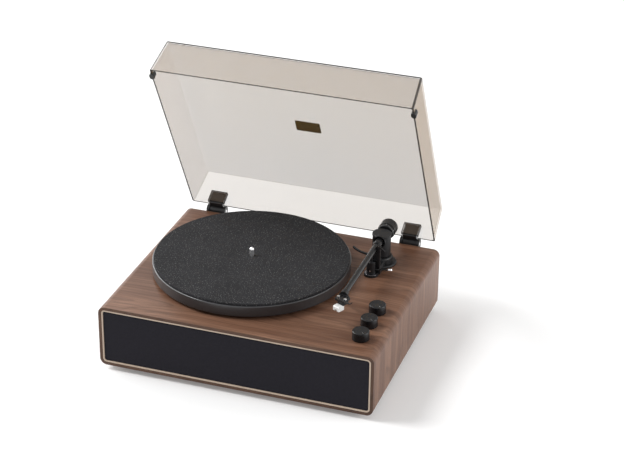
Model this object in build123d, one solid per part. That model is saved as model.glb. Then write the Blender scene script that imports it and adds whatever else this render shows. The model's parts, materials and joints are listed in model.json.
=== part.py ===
from build123d import *
from math import acos, cos, degrees, pi, radians, sin
import os

# Record player with a wrapped wooden cabinet, a hinged smoked dust cover and a straight tonearm.
# Millimetres. X runs to the right, Y to the rear, and Z is 0 on the table. The pieces are drawn about the
# middle of the cabinet, and saved with the origin under the middle of the whole player, cover open.
# They stand as they do with the dust cover open, the tonearm parked and the cue lever down.

# Cabinet
CABINET_WIDTH = 420.0
CABINET_DEPTH = 336.5
CABINET_HEIGHT = 96.5
CABINET_CORNER = 10.5
WALL = 12.0
FRONT_BAND = 4.6
RABBET_DEPTH = 6.0
BOARD_FIT = 0.15
FOOT_HEIGHT = 8.0
FOOT_RADIUS = 16.0
FOOT_INSET = 38.0
FOOT_SCREW_HEAD_RADIUS = 4.0
FOOT_SCREW_LENGTH = 8.0

# Front
TRIM_WIDTH = 2.2
TRIM_SETBACK = 0.2
CLOTH_SETBACK = 1.2
CLOTH_THICKNESS = 0.8
BAFFLE_THICKNESS = 9.0
SPEAKER_SPACING_SHARE = 0.5952
SPEAKER_ROOM = 1.25
SPEAKER_FLANGE_WIDTH = 8.0
SPEAKER_FLANGE = 2.0
SPEAKER_SKIN = 1.2
SPEAKER_DEPTH = 30.0
SPEAKER_THROAT_RADIUS = 17.0
VOICE_COIL_RADIUS = 9.0
CONE_DEPTH = 10.0
SURROUND_WIDTH = 4.0
MAGNET_RADIUS = 22.5
MAGNET_THICKNESS = 11.0
GRILLE_WINDOW_SHARE = 0.464
GRILLE_BORDER = 9.0

# Rear
REAR_PANEL_THICKNESS = 5.0
BATTEN_SIZE = 14.0
JACK_PLATE_WIDTH = 92.0
JACK_PLATE_HEIGHT = 30.0
JACK_PLATE_THICKNESS = 1.6
JACK_PLATE_X = 70.0
JACK_PITCH = 20.0
JACK_BODY_DEPTH = 12.0
JACK_SCREW_INSET = 4.5
JACK_CUTOUT_SIDE = 8.5
JACK_CUTOUT_EDGE = 4.0
RCA_RADIUS = 4.15
RCA_BORE = 1.6
RCA_LENGTH = 9.0
RCA_THREAD_RADIUS = 5.5
AUX_RADIUS = 4.0
AUX_BORE = 1.8
DC_RADIUS = 5.0
DC_BORE = 2.9

# Platter, its bearing and its drive
PLATTER_X = -39.0
PLATTER_Y = 12.0
PLATTER_RADIUS = 149.0
PLATTER_HEIGHT = 17.0
PLATTER_GAP = 4.2
PLATTER_WEB = 4.0
PLATTER_RIM = 6.5
PLATTER_RIB_COUNT = 8
BELT_RING_RADIUS = 80.0
BELT_RING_THICKNESS = 3.5
BELT_HOLE_RADIUS = 14.0
HUB_RADIUS = 15.0
HUB_BOSS_RADIUS = 10.0
MAT_RADIUS = 146.7
MAT_THICKNESS = 3.2
MAT_HOLE_RADIUS = 4.6
SPINDLE_RADIUS = 3.55
SPINDLE_EXPOSED = 14.0
SPINDLE_TIP = 4.0
JOURNAL_RADIUS = 3.0
SHAFT_CLEARANCE = 0.05
BEARING_RADIUS = 8.0
BEARING_FLANGE_RADIUS = 20.0
BEARING_FLANGE_THICKNESS = 2.4
BEARING_DEPTH = 34.0
BEARING_FLOOR = 3.0
PULLEY_RADIUS = 5.5
PULLEY_HEIGHT = 8.5
PULLEY_DISTANCE = 112.0
PULLEY_DIRECTION = 140.0
BELT_WIDTH = 4.5
BELT_THICKNESS = 0.6
BELT_CLEARANCE = 0.3
MOTOR_RADIUS = 18.0
MOTOR_HEIGHT = 24.0
MOTOR_SHAFT_RADIUS = 1.0
MOTOR_HOLE_RADIUS = 9.0
MOTOR_PLATE_THICKNESS = 1.5
GROMMET_HEIGHT = 5.0

# Knobs and their controls
KNOB_SIDE_INSET = 34.0
KNOB_FRONT_INSET = 83.25
KNOB_PITCH = 39.5
KNOB_RADIUS = 12.6
KNOB_HEIGHT = 13.2
KNOB_GAP = 0.8
KNOB_WALL = 2.4
KNOB_POINTER_ANGLE = -50.0
CONTROL_SHAFT_RADIUS = 3.0
CONTROL_BUSH_RADIUS = 4.0
CONTROL_BODY_RADIUS = 12.0
CONTROL_BODY_HEIGHT = 10.0
CONTROL_POCKET_FLOOR = 4.0
CONTROL_NUT_ACROSS = 11.0
CONTROL_NUT_HEIGHT = 2.2

# Dust cover, modelled closed and then swung open about its hinges
COVER_SIDE_SETBACK = 9.4
COVER_FRONT_SETBACK = 8.55
COVER_REAR_SETBACK = 2.15
COVER_HEIGHT = 60.7
COVER_WALL = 2.3
COVER_SIDE_DRAFT = 4.3
COVER_FRONT_DRAFT = 4.8
COVER_REAR_DRAFT = 1.1
COVER_CORNER = 3.0
COVER_GAP = 2.5
COVER_OPEN_ANGLE = 62.0
BADGE_WIDTH = 39.5
BADGE_DEPTH = 23.0
BADGE_THICKNESS = 1.0
BUMPER_LENGTH = 11.0
BUMPER_WIDTH = 7.5
BUMPER_HEIGHT = 9.0
BUMPER_FROM_FRONT = 15.0

# Hinges
HINGE_SIDE_INSET = 50.0
HINGE_AXIS_SETBACK = 8.25
HINGE_AXIS_RISE = 0.5
HINGE_WIDTH = 31.0
HINGE_CHEEK = 4.5
HINGE_BARREL_RADIUS = 6.0
HINGE_EAR_RADIUS = 7.5
HINGE_PLATE_HEIGHT = 30.0
HINGE_PLATE_THICKNESS = 3.0
HINGE_PIN_RADIUS = 2.5
HINGE_SIDE_CLEARANCE = 0.35
POCKET_WIDTH = 27.0
POCKET_HEIGHT = 21.0
POCKET_WALL = 1.8
TONGUE_THICKNESS = 4.0
TONGUE_CLEARANCE = 0.1

# Tonearm
PIVOT_SIDE_INSET = 74.0
PIVOT_REAR_INSET = 66.25
TUBE_RISE = 41.0
TUBE_RADIUS = 4.5
BASE_FLANGE_RADIUS = 23.5
BASE_FLANGE_THICKNESS = 3.0
NECK_RADIUS = 17.5
NECK_RISE = 13.5
HOUSING_RADIUS = 14.0
HOUSING_RISE = 49.8
HOUSING_CLEARANCE = 0.4
HOUSING_BORE = 8.2
SLEEVE_RADIUS = 6.3
SLEEVE_FRONT = 28.0
SLEEVE_REAR = 12.0
YAW_PIN_RADIUS = 3.0
PIVOT_SCREW_RADIUS = 2.5
PIVOT_POINT_RADIUS = 1.0
STEM_RADIUS = 6.0
STEM_LENGTH = 24.0
STEM_NUT_ACROSS = 19.0
STEM_NUT_HEIGHT = 4.0
STUB_RADIUS = 4.5
STUB_LENGTH = 42.0
DIAL_RADIUS = 12.4
DIAL_FRONT = 17.0
DIAL_LENGTH = 6.0
WEIGHT_RADIUS = 13.4
WEIGHT_LENGTH = 17.4
WEIGHT_GAP = 0.4
WEIGHT_GRIPS = 24
HEADSHELL_REACH = 184.0
HEADSHELL_ANGLE = 23.4
HEADSHELL_LENGTH = 17.5
HEADSHELL_WIDTH = 18.0
HEADSHELL_THICKNESS = 2.4
HEADSHELL_RISE = 0.9
HEADSHELL_PLUG_WALL = 1.6
HEAD_SIDE_SHIFT = 6.2
HEAD_SCREW_SPACING = 12.7
HEAD_SCREW_SETBACK = 6.5
HEAD_SCREW_RADIUS = 1.2
FINGER_REACH = 23.0
CARTRIDGE_WIDTH = 15.0
CARTRIDGE_LENGTH = 12.4
CARTRIDGE_HEIGHT = 7.0
STYLUS_BLOCK_WIDTH = 10.4
STYLUS_BLOCK_LENGTH = 12.0
STYLUS_BLOCK_HEIGHT = 6.7
STYLUS_BLOCK_REACH = 12.6
STYLUS_NOSE_RISE = 1.2
STYLUS_BELOW = 0.4

# Cue lift and arm rest
LIFT_SIDE_SHIFT = -2.0
LIFT_FORWARD = 44.0
LIFT_FLANGE_RADIUS = 10.8
LIFT_BODY_RADIUS = 7.0
LIFT_BODY_TOP = 24.0
LIFT_RING_THICKNESS = 1.2
LIFT_BAR_RADIUS = 46.0
LIFT_BAR_WIDTH = 2.8
LIFT_BAR_HEIGHT = 2.6
LIFT_BAR_START = -4.0
LIFT_BAR_END = 49.0
LIFT_TUBE_GAP = 0.4
PISTON_RADIUS = 2.0
LEVER_RISE = 9.5
LEVER_TILT = 7.4
LEVER_LENGTH = 33.0
LEVER_RADIUS = 1.2
LEVER_TIP_RADIUS = 2.4
LEVER_TIP_LENGTH = 6.5
LEVER_HUB_RADIUS = 3.4
LEVER_HUB_WIDTH = 3.6
LEVER_SLOT_WIDTH = 4.4
LEVER_PIN_RADIUS = 1.0
REST_FORWARD = 36.0
REST_LENGTH = 6.0
REST_CHEEK = 1.4
REST_GAP = 0.5
REST_WALL = 4.2
LATCH_RISE = 1.5
LATCH_OVER_PIN = 0.85
LATCH_LENGTH = 11.0
LATCH_THICKNESS = 1.8
LATCH_SLOT_DEPTH = 5.6
LATCH_PIN_RADIUS = 0.8
LATCH_OPEN_ANGLE = 216.0

# Circuit board
BOARD_WIDTH = 118.0
BOARD_DEPTH = 72.0
BOARD_THICKNESS = 1.6
BOARD_X = 60.0
BOARD_REAR_INSET = 56.25
BOARD_HOLE_INSET = 6.0
STANDOFF_HEIGHT = 8.0
STANDOFF_RADIUS = 3.5
STANDOFF_SCREW_DEPTH = 6.0
CAPACITOR_RADIUS = 5.0
CAPACITOR_HEIGHT = 16.0
CAPACITOR_PITCH = 28.0
PART_ROW_OFFSET = 18.0
CONNECTOR_WIDTH = 12.0
CONNECTOR_DEPTH = 6.0
CONNECTOR_HEIGHT = 7.0
CONNECTOR_PITCH = 18.0
SINK_OFFSET = 38.0
SINK_WIDTH = 18.0
SINK_FRONT = 16.0
SINK_LENGTH = 26.0
SINK_BASE = 4.0
SINK_HEIGHT = 20.0
SINK_FIN_COUNT = 5
SINK_FIN_PITCH = 4.0
SINK_FIN_THICKNESS = 1.4

# Fasteners
WOOD_SCREW_RADIUS = 1.6
WOOD_SCREW_HEAD_RADIUS = 3.4
WOOD_SCREW_HEAD_HEIGHT = 1.8
MOVING_GAP = 0.35

# Levels and places that follow from the values above
DECK = FOOT_HEIGHT + CABINET_HEIGHT
FLOOR_TOP = FOOT_HEIGHT + WALL
CEILING = DECK - WALL
MIDDLE_Z = FOOT_HEIGHT + CABINET_HEIGHT / 2
FRONT_Y = -CABINET_DEPTH / 2
REAR_Y = CABINET_DEPTH / 2
INNER_WIDTH = CABINET_WIDTH - 2 * WALL
INNER_HEIGHT = CABINET_HEIGHT - 2 * WALL
SPEAKER_SPACING = CABINET_WIDTH * SPEAKER_SPACING_SHARE
SPEAKER_RADIUS = INNER_HEIGHT / 2 - SPEAKER_ROOM
CONE_RADIUS = SPEAKER_RADIUS - SPEAKER_FLANGE_WIDTH
SPEAKER_BACK = SPEAKER_DEPTH - MAGNET_THICKNESS
GRILLE_WINDOW_WIDTH = SPEAKER_SPACING * GRILLE_WINDOW_SHARE
BAFFLE_FRONT_Y = FRONT_Y + RABBET_DEPTH
BAFFLE_REAR_Y = BAFFLE_FRONT_Y + BAFFLE_THICKNESS
REAR_PANEL_Y = REAR_Y - REAR_PANEL_THICKNESS
PLATTER_BOTTOM = DECK + PLATTER_GAP
PLATTER_TOP = PLATTER_BOTTOM + PLATTER_HEIGHT
WEB_BOTTOM = PLATTER_TOP - PLATTER_WEB
MAT_TOP = PLATTER_TOP + MAT_THICKNESS
BEARING_TOP = DECK + BEARING_FLANGE_THICKNESS
PULLEY_X = PLATTER_X + PULLEY_DISTANCE * cos(radians(PULLEY_DIRECTION))
PULLEY_Y = PLATTER_Y + PULLEY_DISTANCE * sin(radians(PULLEY_DIRECTION))
BELT_Z = (DECK + WEB_BOTTOM) / 2
MOTOR_TOP = CEILING - GROMMET_HEIGHT - MOTOR_PLATE_THICKNESS
CONTROL_CEILING = DECK - CONTROL_POCKET_FLOOR
KNOB_X = CABINET_WIDTH / 2 - KNOB_SIDE_INSET
KNOB_MIDDLE_Y = FRONT_Y + KNOB_FRONT_INSET
COVER_RIM = DECK + COVER_GAP
COVER_WIDTH = CABINET_WIDTH - 2 * COVER_SIDE_SETBACK
COVER_FRONT_Y = FRONT_Y + COVER_FRONT_SETBACK
COVER_REAR_Y = REAR_Y - COVER_REAR_SETBACK
COVER_DEPTH = COVER_REAR_Y - COVER_FRONT_Y
COVER_MIDDLE_Y = (COVER_FRONT_Y + COVER_REAR_Y) / 2
HINGE_X = CABINET_WIDTH / 2 - HINGE_SIDE_INSET
HINGE_AXIS_Y = REAR_Y + HINGE_AXIS_SETBACK
HINGE_AXIS_Z = DECK + HINGE_AXIS_RISE
PIVOT_X = CABINET_WIDTH / 2 - PIVOT_SIDE_INSET
PIVOT_Y = REAR_Y - PIVOT_REAR_INSET
LIFT_X = PIVOT_X + LIFT_SIDE_SHIFT
LIFT_Y = PIVOT_Y - LIFT_FORWARD
REST_Y = PIVOT_Y - REST_FORWARD
BOARD_Y = REAR_Y - BOARD_REAR_INSET
TUBE_Z = DECK + TUBE_RISE
HOUSING_BOTTOM = DECK + NECK_RISE + HOUSING_CLEARANCE
HOUSING_TOP = DECK + HOUSING_RISE
LIFT_BAR_TOP = TUBE_Z - TUBE_RADIUS - LIFT_TUBE_GAP
LEVER_Z = DECK + LEVER_RISE
LATCH_X = PIVOT_X + TUBE_RADIUS + REST_GAP + REST_WALL / 2
LATCH_Z = TUBE_Z + TUBE_RADIUS + LATCH_RISE
BOARD_Z = FLOOR_TOP + STANDOFF_HEIGHT

os.makedirs("parts", exist_ok=True)


def save(solid, node):
    """Write a piece in the shared frame, with its origin under the middle of the open player."""
    export_step(Pos(0, -ORIGIN_Y, 0) * solid, f"parts/{node}.step")


def disc(radius, x, y, bottom, top):
    """Upright cylinder between two levels."""
    return extrude(Pos(x, y, bottom) * Circle(radius), top - bottom)


def ring(outer, inner, x, y, bottom, top):
    return disc(outer, x, y, bottom, top) - disc(inner, x, y, bottom, top)


def block(x_low, x_high, y_low, y_high, z_low, z_high):
    """Box given by its two extreme corners."""
    centre = Pos((x_low + x_high) / 2, (y_low + y_high) / 2, (z_low + z_high) / 2)
    return centre * Box(x_high - x_low, y_high - y_low, z_high - z_low)


def rod(radius, start, end):
    """Round bar from one point to another."""
    run = Vector(*end) - Vector(*start)
    return extrude(Plane(origin=start, z_dir=run) * Circle(radius), run.length)


def turned(points, x, y):
    """Solid turned about an upright axis from (radius, level) points."""
    outline = make_face(Plane.XZ * Polyline(*points, close=True))
    return Pos(x, y, 0) * revolve(outline, Axis.Z)


def facing_front(x, y, z):
    """Plane at a point that looks towards the front, with Z up in it."""
    return Plane(origin=(x, y, z), x_dir=(1, 0, 0), z_dir=(0, -1, 0))


def wood_screw(x, y, z, direction, length):
    """Pan-head screw: the point is under the head's seat, and the shank runs along the direction."""
    seat = Plane(origin=(x, y, z), z_dir=direction)
    shank = extrude(seat * Circle(WOOD_SCREW_RADIUS), length)
    head = extrude(seat * Circle(WOOD_SCREW_HEAD_RADIUS), -WOOD_SCREW_HEAD_HEIGHT)
    return shank + head


def screw_hole(x, y, z, direction, length):
    """Pilot hole that a wood screw of that length fills."""
    return extrude(Plane(origin=(x, y, z), z_dir=direction) * Circle(WOOD_SCREW_RADIUS), length)


# Places that several pieces share
FOOT_PLACES = [
    (side * (CABINET_WIDTH / 2 - FOOT_INSET), end * (CABINET_DEPTH / 2 - FOOT_INSET))
    for side in (-1, 1)
    for end in (-1, 1)
]
KNOB_PLACES = [KNOB_MIDDLE_Y + step * KNOB_PITCH for step in (1, 0, -1)]
BEARING_SCREW_CIRCLE = (BEARING_RADIUS + BEARING_FLANGE_RADIUS) / 2
BEARING_SCREW_LENGTH = 9.0
BEARING_SCREW_PLACES = [
    (PLATTER_X + BEARING_SCREW_CIRCLE * cos(radians(a)), PLATTER_Y + BEARING_SCREW_CIRCLE * sin(radians(a)))
    for a in (90, 210, 330)
]
MOTOR_MOUNT_CIRCLE = MOTOR_RADIUS + 7.0
MOTOR_MOUNT_PLACES = [
    (PULLEY_X + MOTOR_MOUNT_CIRCLE * cos(radians(a)), PULLEY_Y + MOTOR_MOUNT_CIRCLE * sin(radians(a)))
    for a in (0, 120, 240)
]
MOTOR_SCREW_LENGTH = GROMMET_HEIGHT + MOTOR_PLATE_THICKNESS + 8.0
REAR_SCREW_INSET = BATTEN_SIZE / 2
REAR_SCREW_LENGTH = 14.0
REAR_SCREW_PLACES = [
    (side * (INNER_WIDTH / 2 - REAR_SCREW_INSET), MIDDLE_Z + end * (INNER_HEIGHT / 2 - REAR_SCREW_INSET))
    for side in (-1, 1)
    for end in (-1, 1)
]
HINGE_SCREW_LENGTH = 15.0
HINGE_SCREW_LEVELS = [DECK - HINGE_PLATE_HEIGHT / 2, DECK - HINGE_PLATE_HEIGHT + 5.0]
HINGE_SCREW_PLACES = [(side * HINGE_X, z) for side in (-1, 1) for z in HINGE_SCREW_LEVELS]
SPEAKER_XS = [-SPEAKER_SPACING / 2, SPEAKER_SPACING / 2]
SPEAKER_SCREW_CIRCLE = SPEAKER_RADIUS - 2.7
SPEAKER_SCREW_LENGTH = SPEAKER_FLANGE + 6.0
SPEAKER_SCREW_PLACES = [
    (x + SPEAKER_SCREW_CIRCLE * cos(radians(a)), MIDDLE_Z + SPEAKER_SCREW_CIRCLE * sin(radians(a)))
    for x in SPEAKER_XS
    for a in (45, 135, 225, 315)
]
STANDOFF_SIDE = BOARD_WIDTH / 2 - BOARD_HOLE_INSET
STANDOFF_END = BOARD_DEPTH / 2 - BOARD_HOLE_INSET
STANDOFF_PLACES = [
    (BOARD_X + side * STANDOFF_SIDE, BOARD_Y + end * STANDOFF_END) for side in (-1, 1) for end in (-1, 1)
]
JACK_PLATE_REAR_Y = REAR_Y + JACK_PLATE_THICKNESS
HINGE_PLATE_REAR_Y = REAR_Y + HINGE_PLATE_THICKNESS
JACK_SCREW_XS = [JACK_PLATE_X + side * (JACK_PLATE_WIDTH / 2 - JACK_SCREW_INSET) for side in (-1, 1)]
JACK_SCREW_LENGTH = JACK_PLATE_THICKNESS + 3.0
JACK_CUTOUT_HEIGHT = JACK_PLATE_HEIGHT - 2 * JACK_CUTOUT_EDGE
JACK_CUTOUT_WIDTH = JACK_PLATE_WIDTH - 2 * JACK_CUTOUT_SIDE
RCA_PLACES = [JACK_PLATE_X - 1.5 * JACK_PITCH, JACK_PLATE_X - 0.5 * JACK_PITCH]
AUX_X = JACK_PLATE_X + 0.5 * JACK_PITCH
DC_X = JACK_PLATE_X + 1.5 * JACK_PITCH


def cabinet_shell():
    """One wrapped board: deck, sides and floor in a rounded tube, open at the front and rear."""
    outer = facing_front(0, 0, MIDDLE_Z) * RectangleRounded(CABINET_WIDTH, CABINET_HEIGHT, CABINET_CORNER)
    inner = facing_front(0, 0, MIDDLE_Z) * Rectangle(INNER_WIDTH, INNER_HEIGHT)
    shell = extrude(outer, CABINET_DEPTH / 2, both=True) - extrude(inner, CABINET_DEPTH, both=True)
    rabbet = facing_front(0, BAFFLE_FRONT_Y, MIDDLE_Z) * RectangleRounded(
        CABINET_WIDTH - 2 * FRONT_BAND, CABINET_HEIGHT - 2 * FRONT_BAND, CABINET_CORNER - FRONT_BAND
    )
    shell -= extrude(rabbet, RABBET_DEPTH)
    shell -= disc(BEARING_RADIUS, PLATTER_X, PLATTER_Y, CEILING, DECK)
    shell -= disc(MOTOR_HOLE_RADIUS, PULLEY_X, PULLEY_Y, CEILING, DECK)
    shell -= disc(STEM_RADIUS, PIVOT_X, PIVOT_Y, CEILING, DECK)
    for y in KNOB_PLACES:
        shell -= disc(CONTROL_BUSH_RADIUS, KNOB_X, y, CEILING, DECK)
        shell -= disc(CONTROL_BODY_RADIUS + 1.0, KNOB_X, y, CEILING, CONTROL_CEILING)
    for x, y in BEARING_SCREW_PLACES:
        shell -= screw_hole(x, y, BEARING_TOP, (0, 0, -1), BEARING_SCREW_LENGTH)
    for x, y in MOTOR_MOUNT_PLACES:
        shell -= screw_hole(x, y, MOTOR_TOP, (0, 0, 1), MOTOR_SCREW_LENGTH)
    for x, y in FOOT_PLACES:
        shell -= screw_hole(x, y, FOOT_HEIGHT, (0, 0, 1), FOOT_SCREW_LENGTH)
    for x, z in HINGE_SCREW_PLACES:
        shell -= screw_hole(x, REAR_Y, z, (0, -1, 0), HINGE_SCREW_LENGTH)
    for x, y in STANDOFF_PLACES:
        shell -= disc(WOOD_SCREW_RADIUS, x, y, FLOOR_TOP - STANDOFF_SCREW_DEPTH, FLOOR_TOP)
    return shell


def foot(x, y):
    """Rubber foot, tapered, with a recess for its screw's head."""
    outline = [
        (WOOD_SCREW_RADIUS, FOOT_HEIGHT / 2),
        (FOOT_SCREW_HEAD_RADIUS + 1.0, FOOT_HEIGHT / 2),
        (FOOT_SCREW_HEAD_RADIUS + 1.0, 0),
        (FOOT_RADIUS - 2.0, 0),
        (FOOT_RADIUS, 2.0),
        (FOOT_RADIUS, FOOT_HEIGHT),
        (WOOD_SCREW_RADIUS, FOOT_HEIGHT),
    ]
    return turned(outline, x, y)


def foot_screw(x, y):
    shank = disc(WOOD_SCREW_RADIUS, x, y, FOOT_HEIGHT / 2, FOOT_HEIGHT + FOOT_SCREW_LENGTH)
    head = disc(FOOT_SCREW_HEAD_RADIUS, x, y, FOOT_HEIGHT / 2 - 2.0, FOOT_HEIGHT / 2)
    return shank + head


# Front: trim frame, cloth on its frame, and the baffle that carries the speakers
TRIM_OUTER_WIDTH = CABINET_WIDTH - 2 * FRONT_BAND - 2 * BOARD_FIT
TRIM_OUTER_HEIGHT = CABINET_HEIGHT - 2 * FRONT_BAND - 2 * BOARD_FIT
TRIM_CORNER = CABINET_CORNER - FRONT_BAND
GRILLE_WIDTH = TRIM_OUTER_WIDTH - 2 * TRIM_WIDTH
GRILLE_HEIGHT = TRIM_OUTER_HEIGHT - 2 * TRIM_WIDTH
GRILLE_CORNER = TRIM_CORNER - TRIM_WIDTH


def trim_frame():
    seat = facing_front(0, BAFFLE_FRONT_Y, MIDDLE_Z)
    outer = seat * RectangleRounded(TRIM_OUTER_WIDTH, TRIM_OUTER_HEIGHT, TRIM_CORNER)
    inner = seat * RectangleRounded(GRILLE_WIDTH, GRILLE_HEIGHT, GRILLE_CORNER)
    return extrude(outer - inner, RABBET_DEPTH - TRIM_SETBACK)


def grille_frame():
    """Board behind the cloth, with a rounded window in front of each speaker."""
    seat = facing_front(0, BAFFLE_FRONT_Y, MIDDLE_Z)
    board = seat * RectangleRounded(GRILLE_WIDTH, GRILLE_HEIGHT, GRILLE_CORNER)
    window_height = GRILLE_HEIGHT - 2 * GRILLE_BORDER
    for x in SPEAKER_XS:
        window = RectangleRounded(GRILLE_WINDOW_WIDTH, window_height, window_height / 4)
        board -= facing_front(x, BAFFLE_FRONT_Y, MIDDLE_Z) * window
    return extrude(board, RABBET_DEPTH - CLOTH_SETBACK - CLOTH_THICKNESS)


def grille_cloth():
    face = facing_front(0, FRONT_Y + CLOTH_SETBACK + CLOTH_THICKNESS, MIDDLE_Z) * RectangleRounded(
        GRILLE_WIDTH, GRILLE_HEIGHT, GRILLE_CORNER
    )
    return extrude(face, CLOTH_THICKNESS)


def front_baffle():
    seat = facing_front(0, BAFFLE_REAR_Y, MIDDLE_Z)
    board = seat * Rectangle(INNER_WIDTH - 2 * BOARD_FIT, INNER_HEIGHT - 2 * BOARD_FIT)
    for x in SPEAKER_XS:
        board -= facing_front(x, BAFFLE_REAR_Y, MIDDLE_Z) * Circle(CONE_RADIUS + 1.5)
    baffle = extrude(board, BAFFLE_THICKNESS)
    for x, z in SPEAKER_SCREW_PLACES:
        baffle -= screw_hole(x, BAFFLE_REAR_Y + SPEAKER_FLANGE, z, (0, -1, 0), SPEAKER_SCREW_LENGTH)
    return baffle


def speaker_turned(points, x):
    """Solid turned about a speaker's axis from (radius, distance behind the baffle) points."""
    plane = Plane(origin=(x, BAFFLE_REAR_Y, MIDDLE_Z), x_dir=(1, 0, 0), z_dir=(0, 0, 1))
    outline = make_face(plane * Polyline(*points, close=True))
    return revolve(outline, Axis((x, BAFFLE_REAR_Y, MIDDLE_Z), (0, 1, 0)))


def speaker_frame(x):
    """Pressed basket with four windows between its spokes, and the plate that holds the magnet."""
    basket = speaker_turned(
        [
            (CONE_RADIUS + 0.5, 0),
            (SPEAKER_RADIUS, 0),
            (SPEAKER_RADIUS, SPEAKER_FLANGE),
            (CONE_RADIUS + 0.5 + SPEAKER_SKIN, SPEAKER_FLANGE),
            (SPEAKER_THROAT_RADIUS + SPEAKER_SKIN, SPEAKER_BACK),
            (VOICE_COIL_RADIUS, SPEAKER_BACK),
            (VOICE_COIL_RADIUS, SPEAKER_BACK - SPEAKER_SKIN),
            (SPEAKER_THROAT_RADIUS, SPEAKER_BACK - SPEAKER_SKIN),
            (CONE_RADIUS + 0.5, SPEAKER_FLANGE + SPEAKER_SKIN),
        ],
        x,
    )
    middle = BAFFLE_REAR_Y + (SPEAKER_FLANGE + SPEAKER_BACK) / 2
    window_height = SPEAKER_BACK - SPEAKER_FLANGE - 6.0
    for angle in (0, 90, 180, 270):
        window = Box(SPEAKER_RADIUS, window_height, SPEAKER_THROAT_RADIUS)
        turn = Rot(0, angle, 0) * Pos(SPEAKER_RADIUS / 2 + 8.0, 0, 0)
        basket -= Pos(x, middle, MIDDLE_Z) * turn * window
    for sx, sz in SPEAKER_SCREW_PLACES:
        basket -= screw_hole(sx, BAFFLE_REAR_Y + SPEAKER_FLANGE, sz, (0, -1, 0), SPEAKER_SCREW_LENGTH)
    return basket


def speaker_magnet(x):
    """Ferrite ring with its steel back plate and centre pole."""
    return speaker_turned(
        [
            (0, SPEAKER_BACK - 5.0),
            (7.5, SPEAKER_BACK - 5.0),
            (7.5, SPEAKER_BACK),
            (MAGNET_RADIUS - 1.0, SPEAKER_BACK),
            (MAGNET_RADIUS, SPEAKER_BACK + 1.0),
            (MAGNET_RADIUS, SPEAKER_DEPTH - 3.0),
            (MAGNET_RADIUS - 3.0, SPEAKER_DEPTH),
            (0, SPEAKER_DEPTH),
        ],
        x,
    )


def speaker_cone(x):
    """Paper cone with a half-roll surround and a dust cap, as one formed skin."""
    middle = CONE_RADIUS - SURROUND_WIDTH / 2
    skin = SURROUND_WIDTH / 5
    return speaker_turned(
        [
            (CONE_RADIUS + 0.5, 0),
            (CONE_RADIUS + 0.5, skin),
            (middle + 2 * skin, skin),
            (middle, -1.5 * skin),
            (middle - 2 * skin, skin),
            (VOICE_COIL_RADIUS, CONE_DEPTH),
            (VOICE_COIL_RADIUS - 2.5 * skin, CONE_DEPTH + 2 * skin),
            (0, CONE_DEPTH - 2.5 * skin),
            (0, CONE_DEPTH - 3.5 * skin),
            (VOICE_COIL_RADIUS - 3 * skin, CONE_DEPTH + 0.75 * skin),
            (VOICE_COIL_RADIUS - 0.75 * skin, CONE_DEPTH - skin),
            (middle - 2.5 * skin, 0),
            (middle, -2.75 * skin),
            (middle + 2.5 * skin, 0),
        ],
        x,
    )


# Rear: panel, battens, connector plate and its jacks
def rear_panel():
    face = facing_front(0, REAR_Y, MIDDLE_Z)
    board = face * Rectangle(INNER_WIDTH - 2 * BOARD_FIT, INNER_HEIGHT - 2 * BOARD_FIT)
    board -= face * Pos(JACK_PLATE_X, 0) * RectangleRounded(JACK_CUTOUT_WIDTH, JACK_CUTOUT_HEIGHT, 2.0)
    panel = extrude(board, REAR_PANEL_THICKNESS)
    for x, z in REAR_SCREW_PLACES:
        panel -= screw_hole(x, REAR_Y, z, (0, -1, 0), REAR_SCREW_LENGTH)
    for x, z in HINGE_SCREW_PLACES:
        panel -= screw_hole(x, REAR_Y, z, (0, -1, 0), HINGE_SCREW_LENGTH)
    for x in JACK_SCREW_XS:
        panel -= screw_hole(x, JACK_PLATE_REAR_Y, MIDDLE_Z, (0, -1, 0), JACK_SCREW_LENGTH)
    return panel


def rear_battens():
    """Two upright battens at the ends and a block behind each hinge."""
    solids = []
    for side in (-1, 1):
        x_out = side * (INNER_WIDTH / 2)
        x_in = x_out - side * BATTEN_SIZE
        low, high = min(x_out, x_in), max(x_out, x_in)
        solids.append(block(low, high, REAR_PANEL_Y - BATTEN_SIZE, REAR_PANEL_Y, FLOOR_TOP, CEILING))
        solids.append(
            block(
                side * HINGE_X - HINGE_WIDTH / 2,
                side * HINGE_X + HINGE_WIDTH / 2,
                REAR_PANEL_Y - BATTEN_SIZE,
                REAR_PANEL_Y,
                DECK - HINGE_PLATE_HEIGHT - 6.0,
                CEILING,
            )
        )
    battens = Part() + solids
    for x, z in REAR_SCREW_PLACES:
        battens -= screw_hole(x, REAR_Y, z, (0, -1, 0), REAR_SCREW_LENGTH)
    for x, z in HINGE_SCREW_PLACES:
        battens -= screw_hole(x, REAR_Y, z, (0, -1, 0), HINGE_SCREW_LENGTH)
    return battens


def jack_plate():
    outline = facing_front(JACK_PLATE_X, JACK_PLATE_REAR_Y, MIDDLE_Z)
    face = outline * RectangleRounded(JACK_PLATE_WIDTH, JACK_PLATE_HEIGHT, 3.0)
    plate = extrude(face, JACK_PLATE_THICKNESS)
    holes = [(x, RCA_THREAD_RADIUS) for x in RCA_PLACES] + [(AUX_X, AUX_RADIUS), (DC_X, DC_RADIUS)]
    for x, radius in holes:
        plate -= extrude(facing_front(x, JACK_PLATE_REAR_Y, MIDDLE_Z) * Circle(radius), JACK_PLATE_THICKNESS)
    for x in JACK_SCREW_XS:
        plate -= screw_hole(x, JACK_PLATE_REAR_Y, MIDDLE_Z, (0, -1, 0), JACK_SCREW_LENGTH)
    return plate


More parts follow.
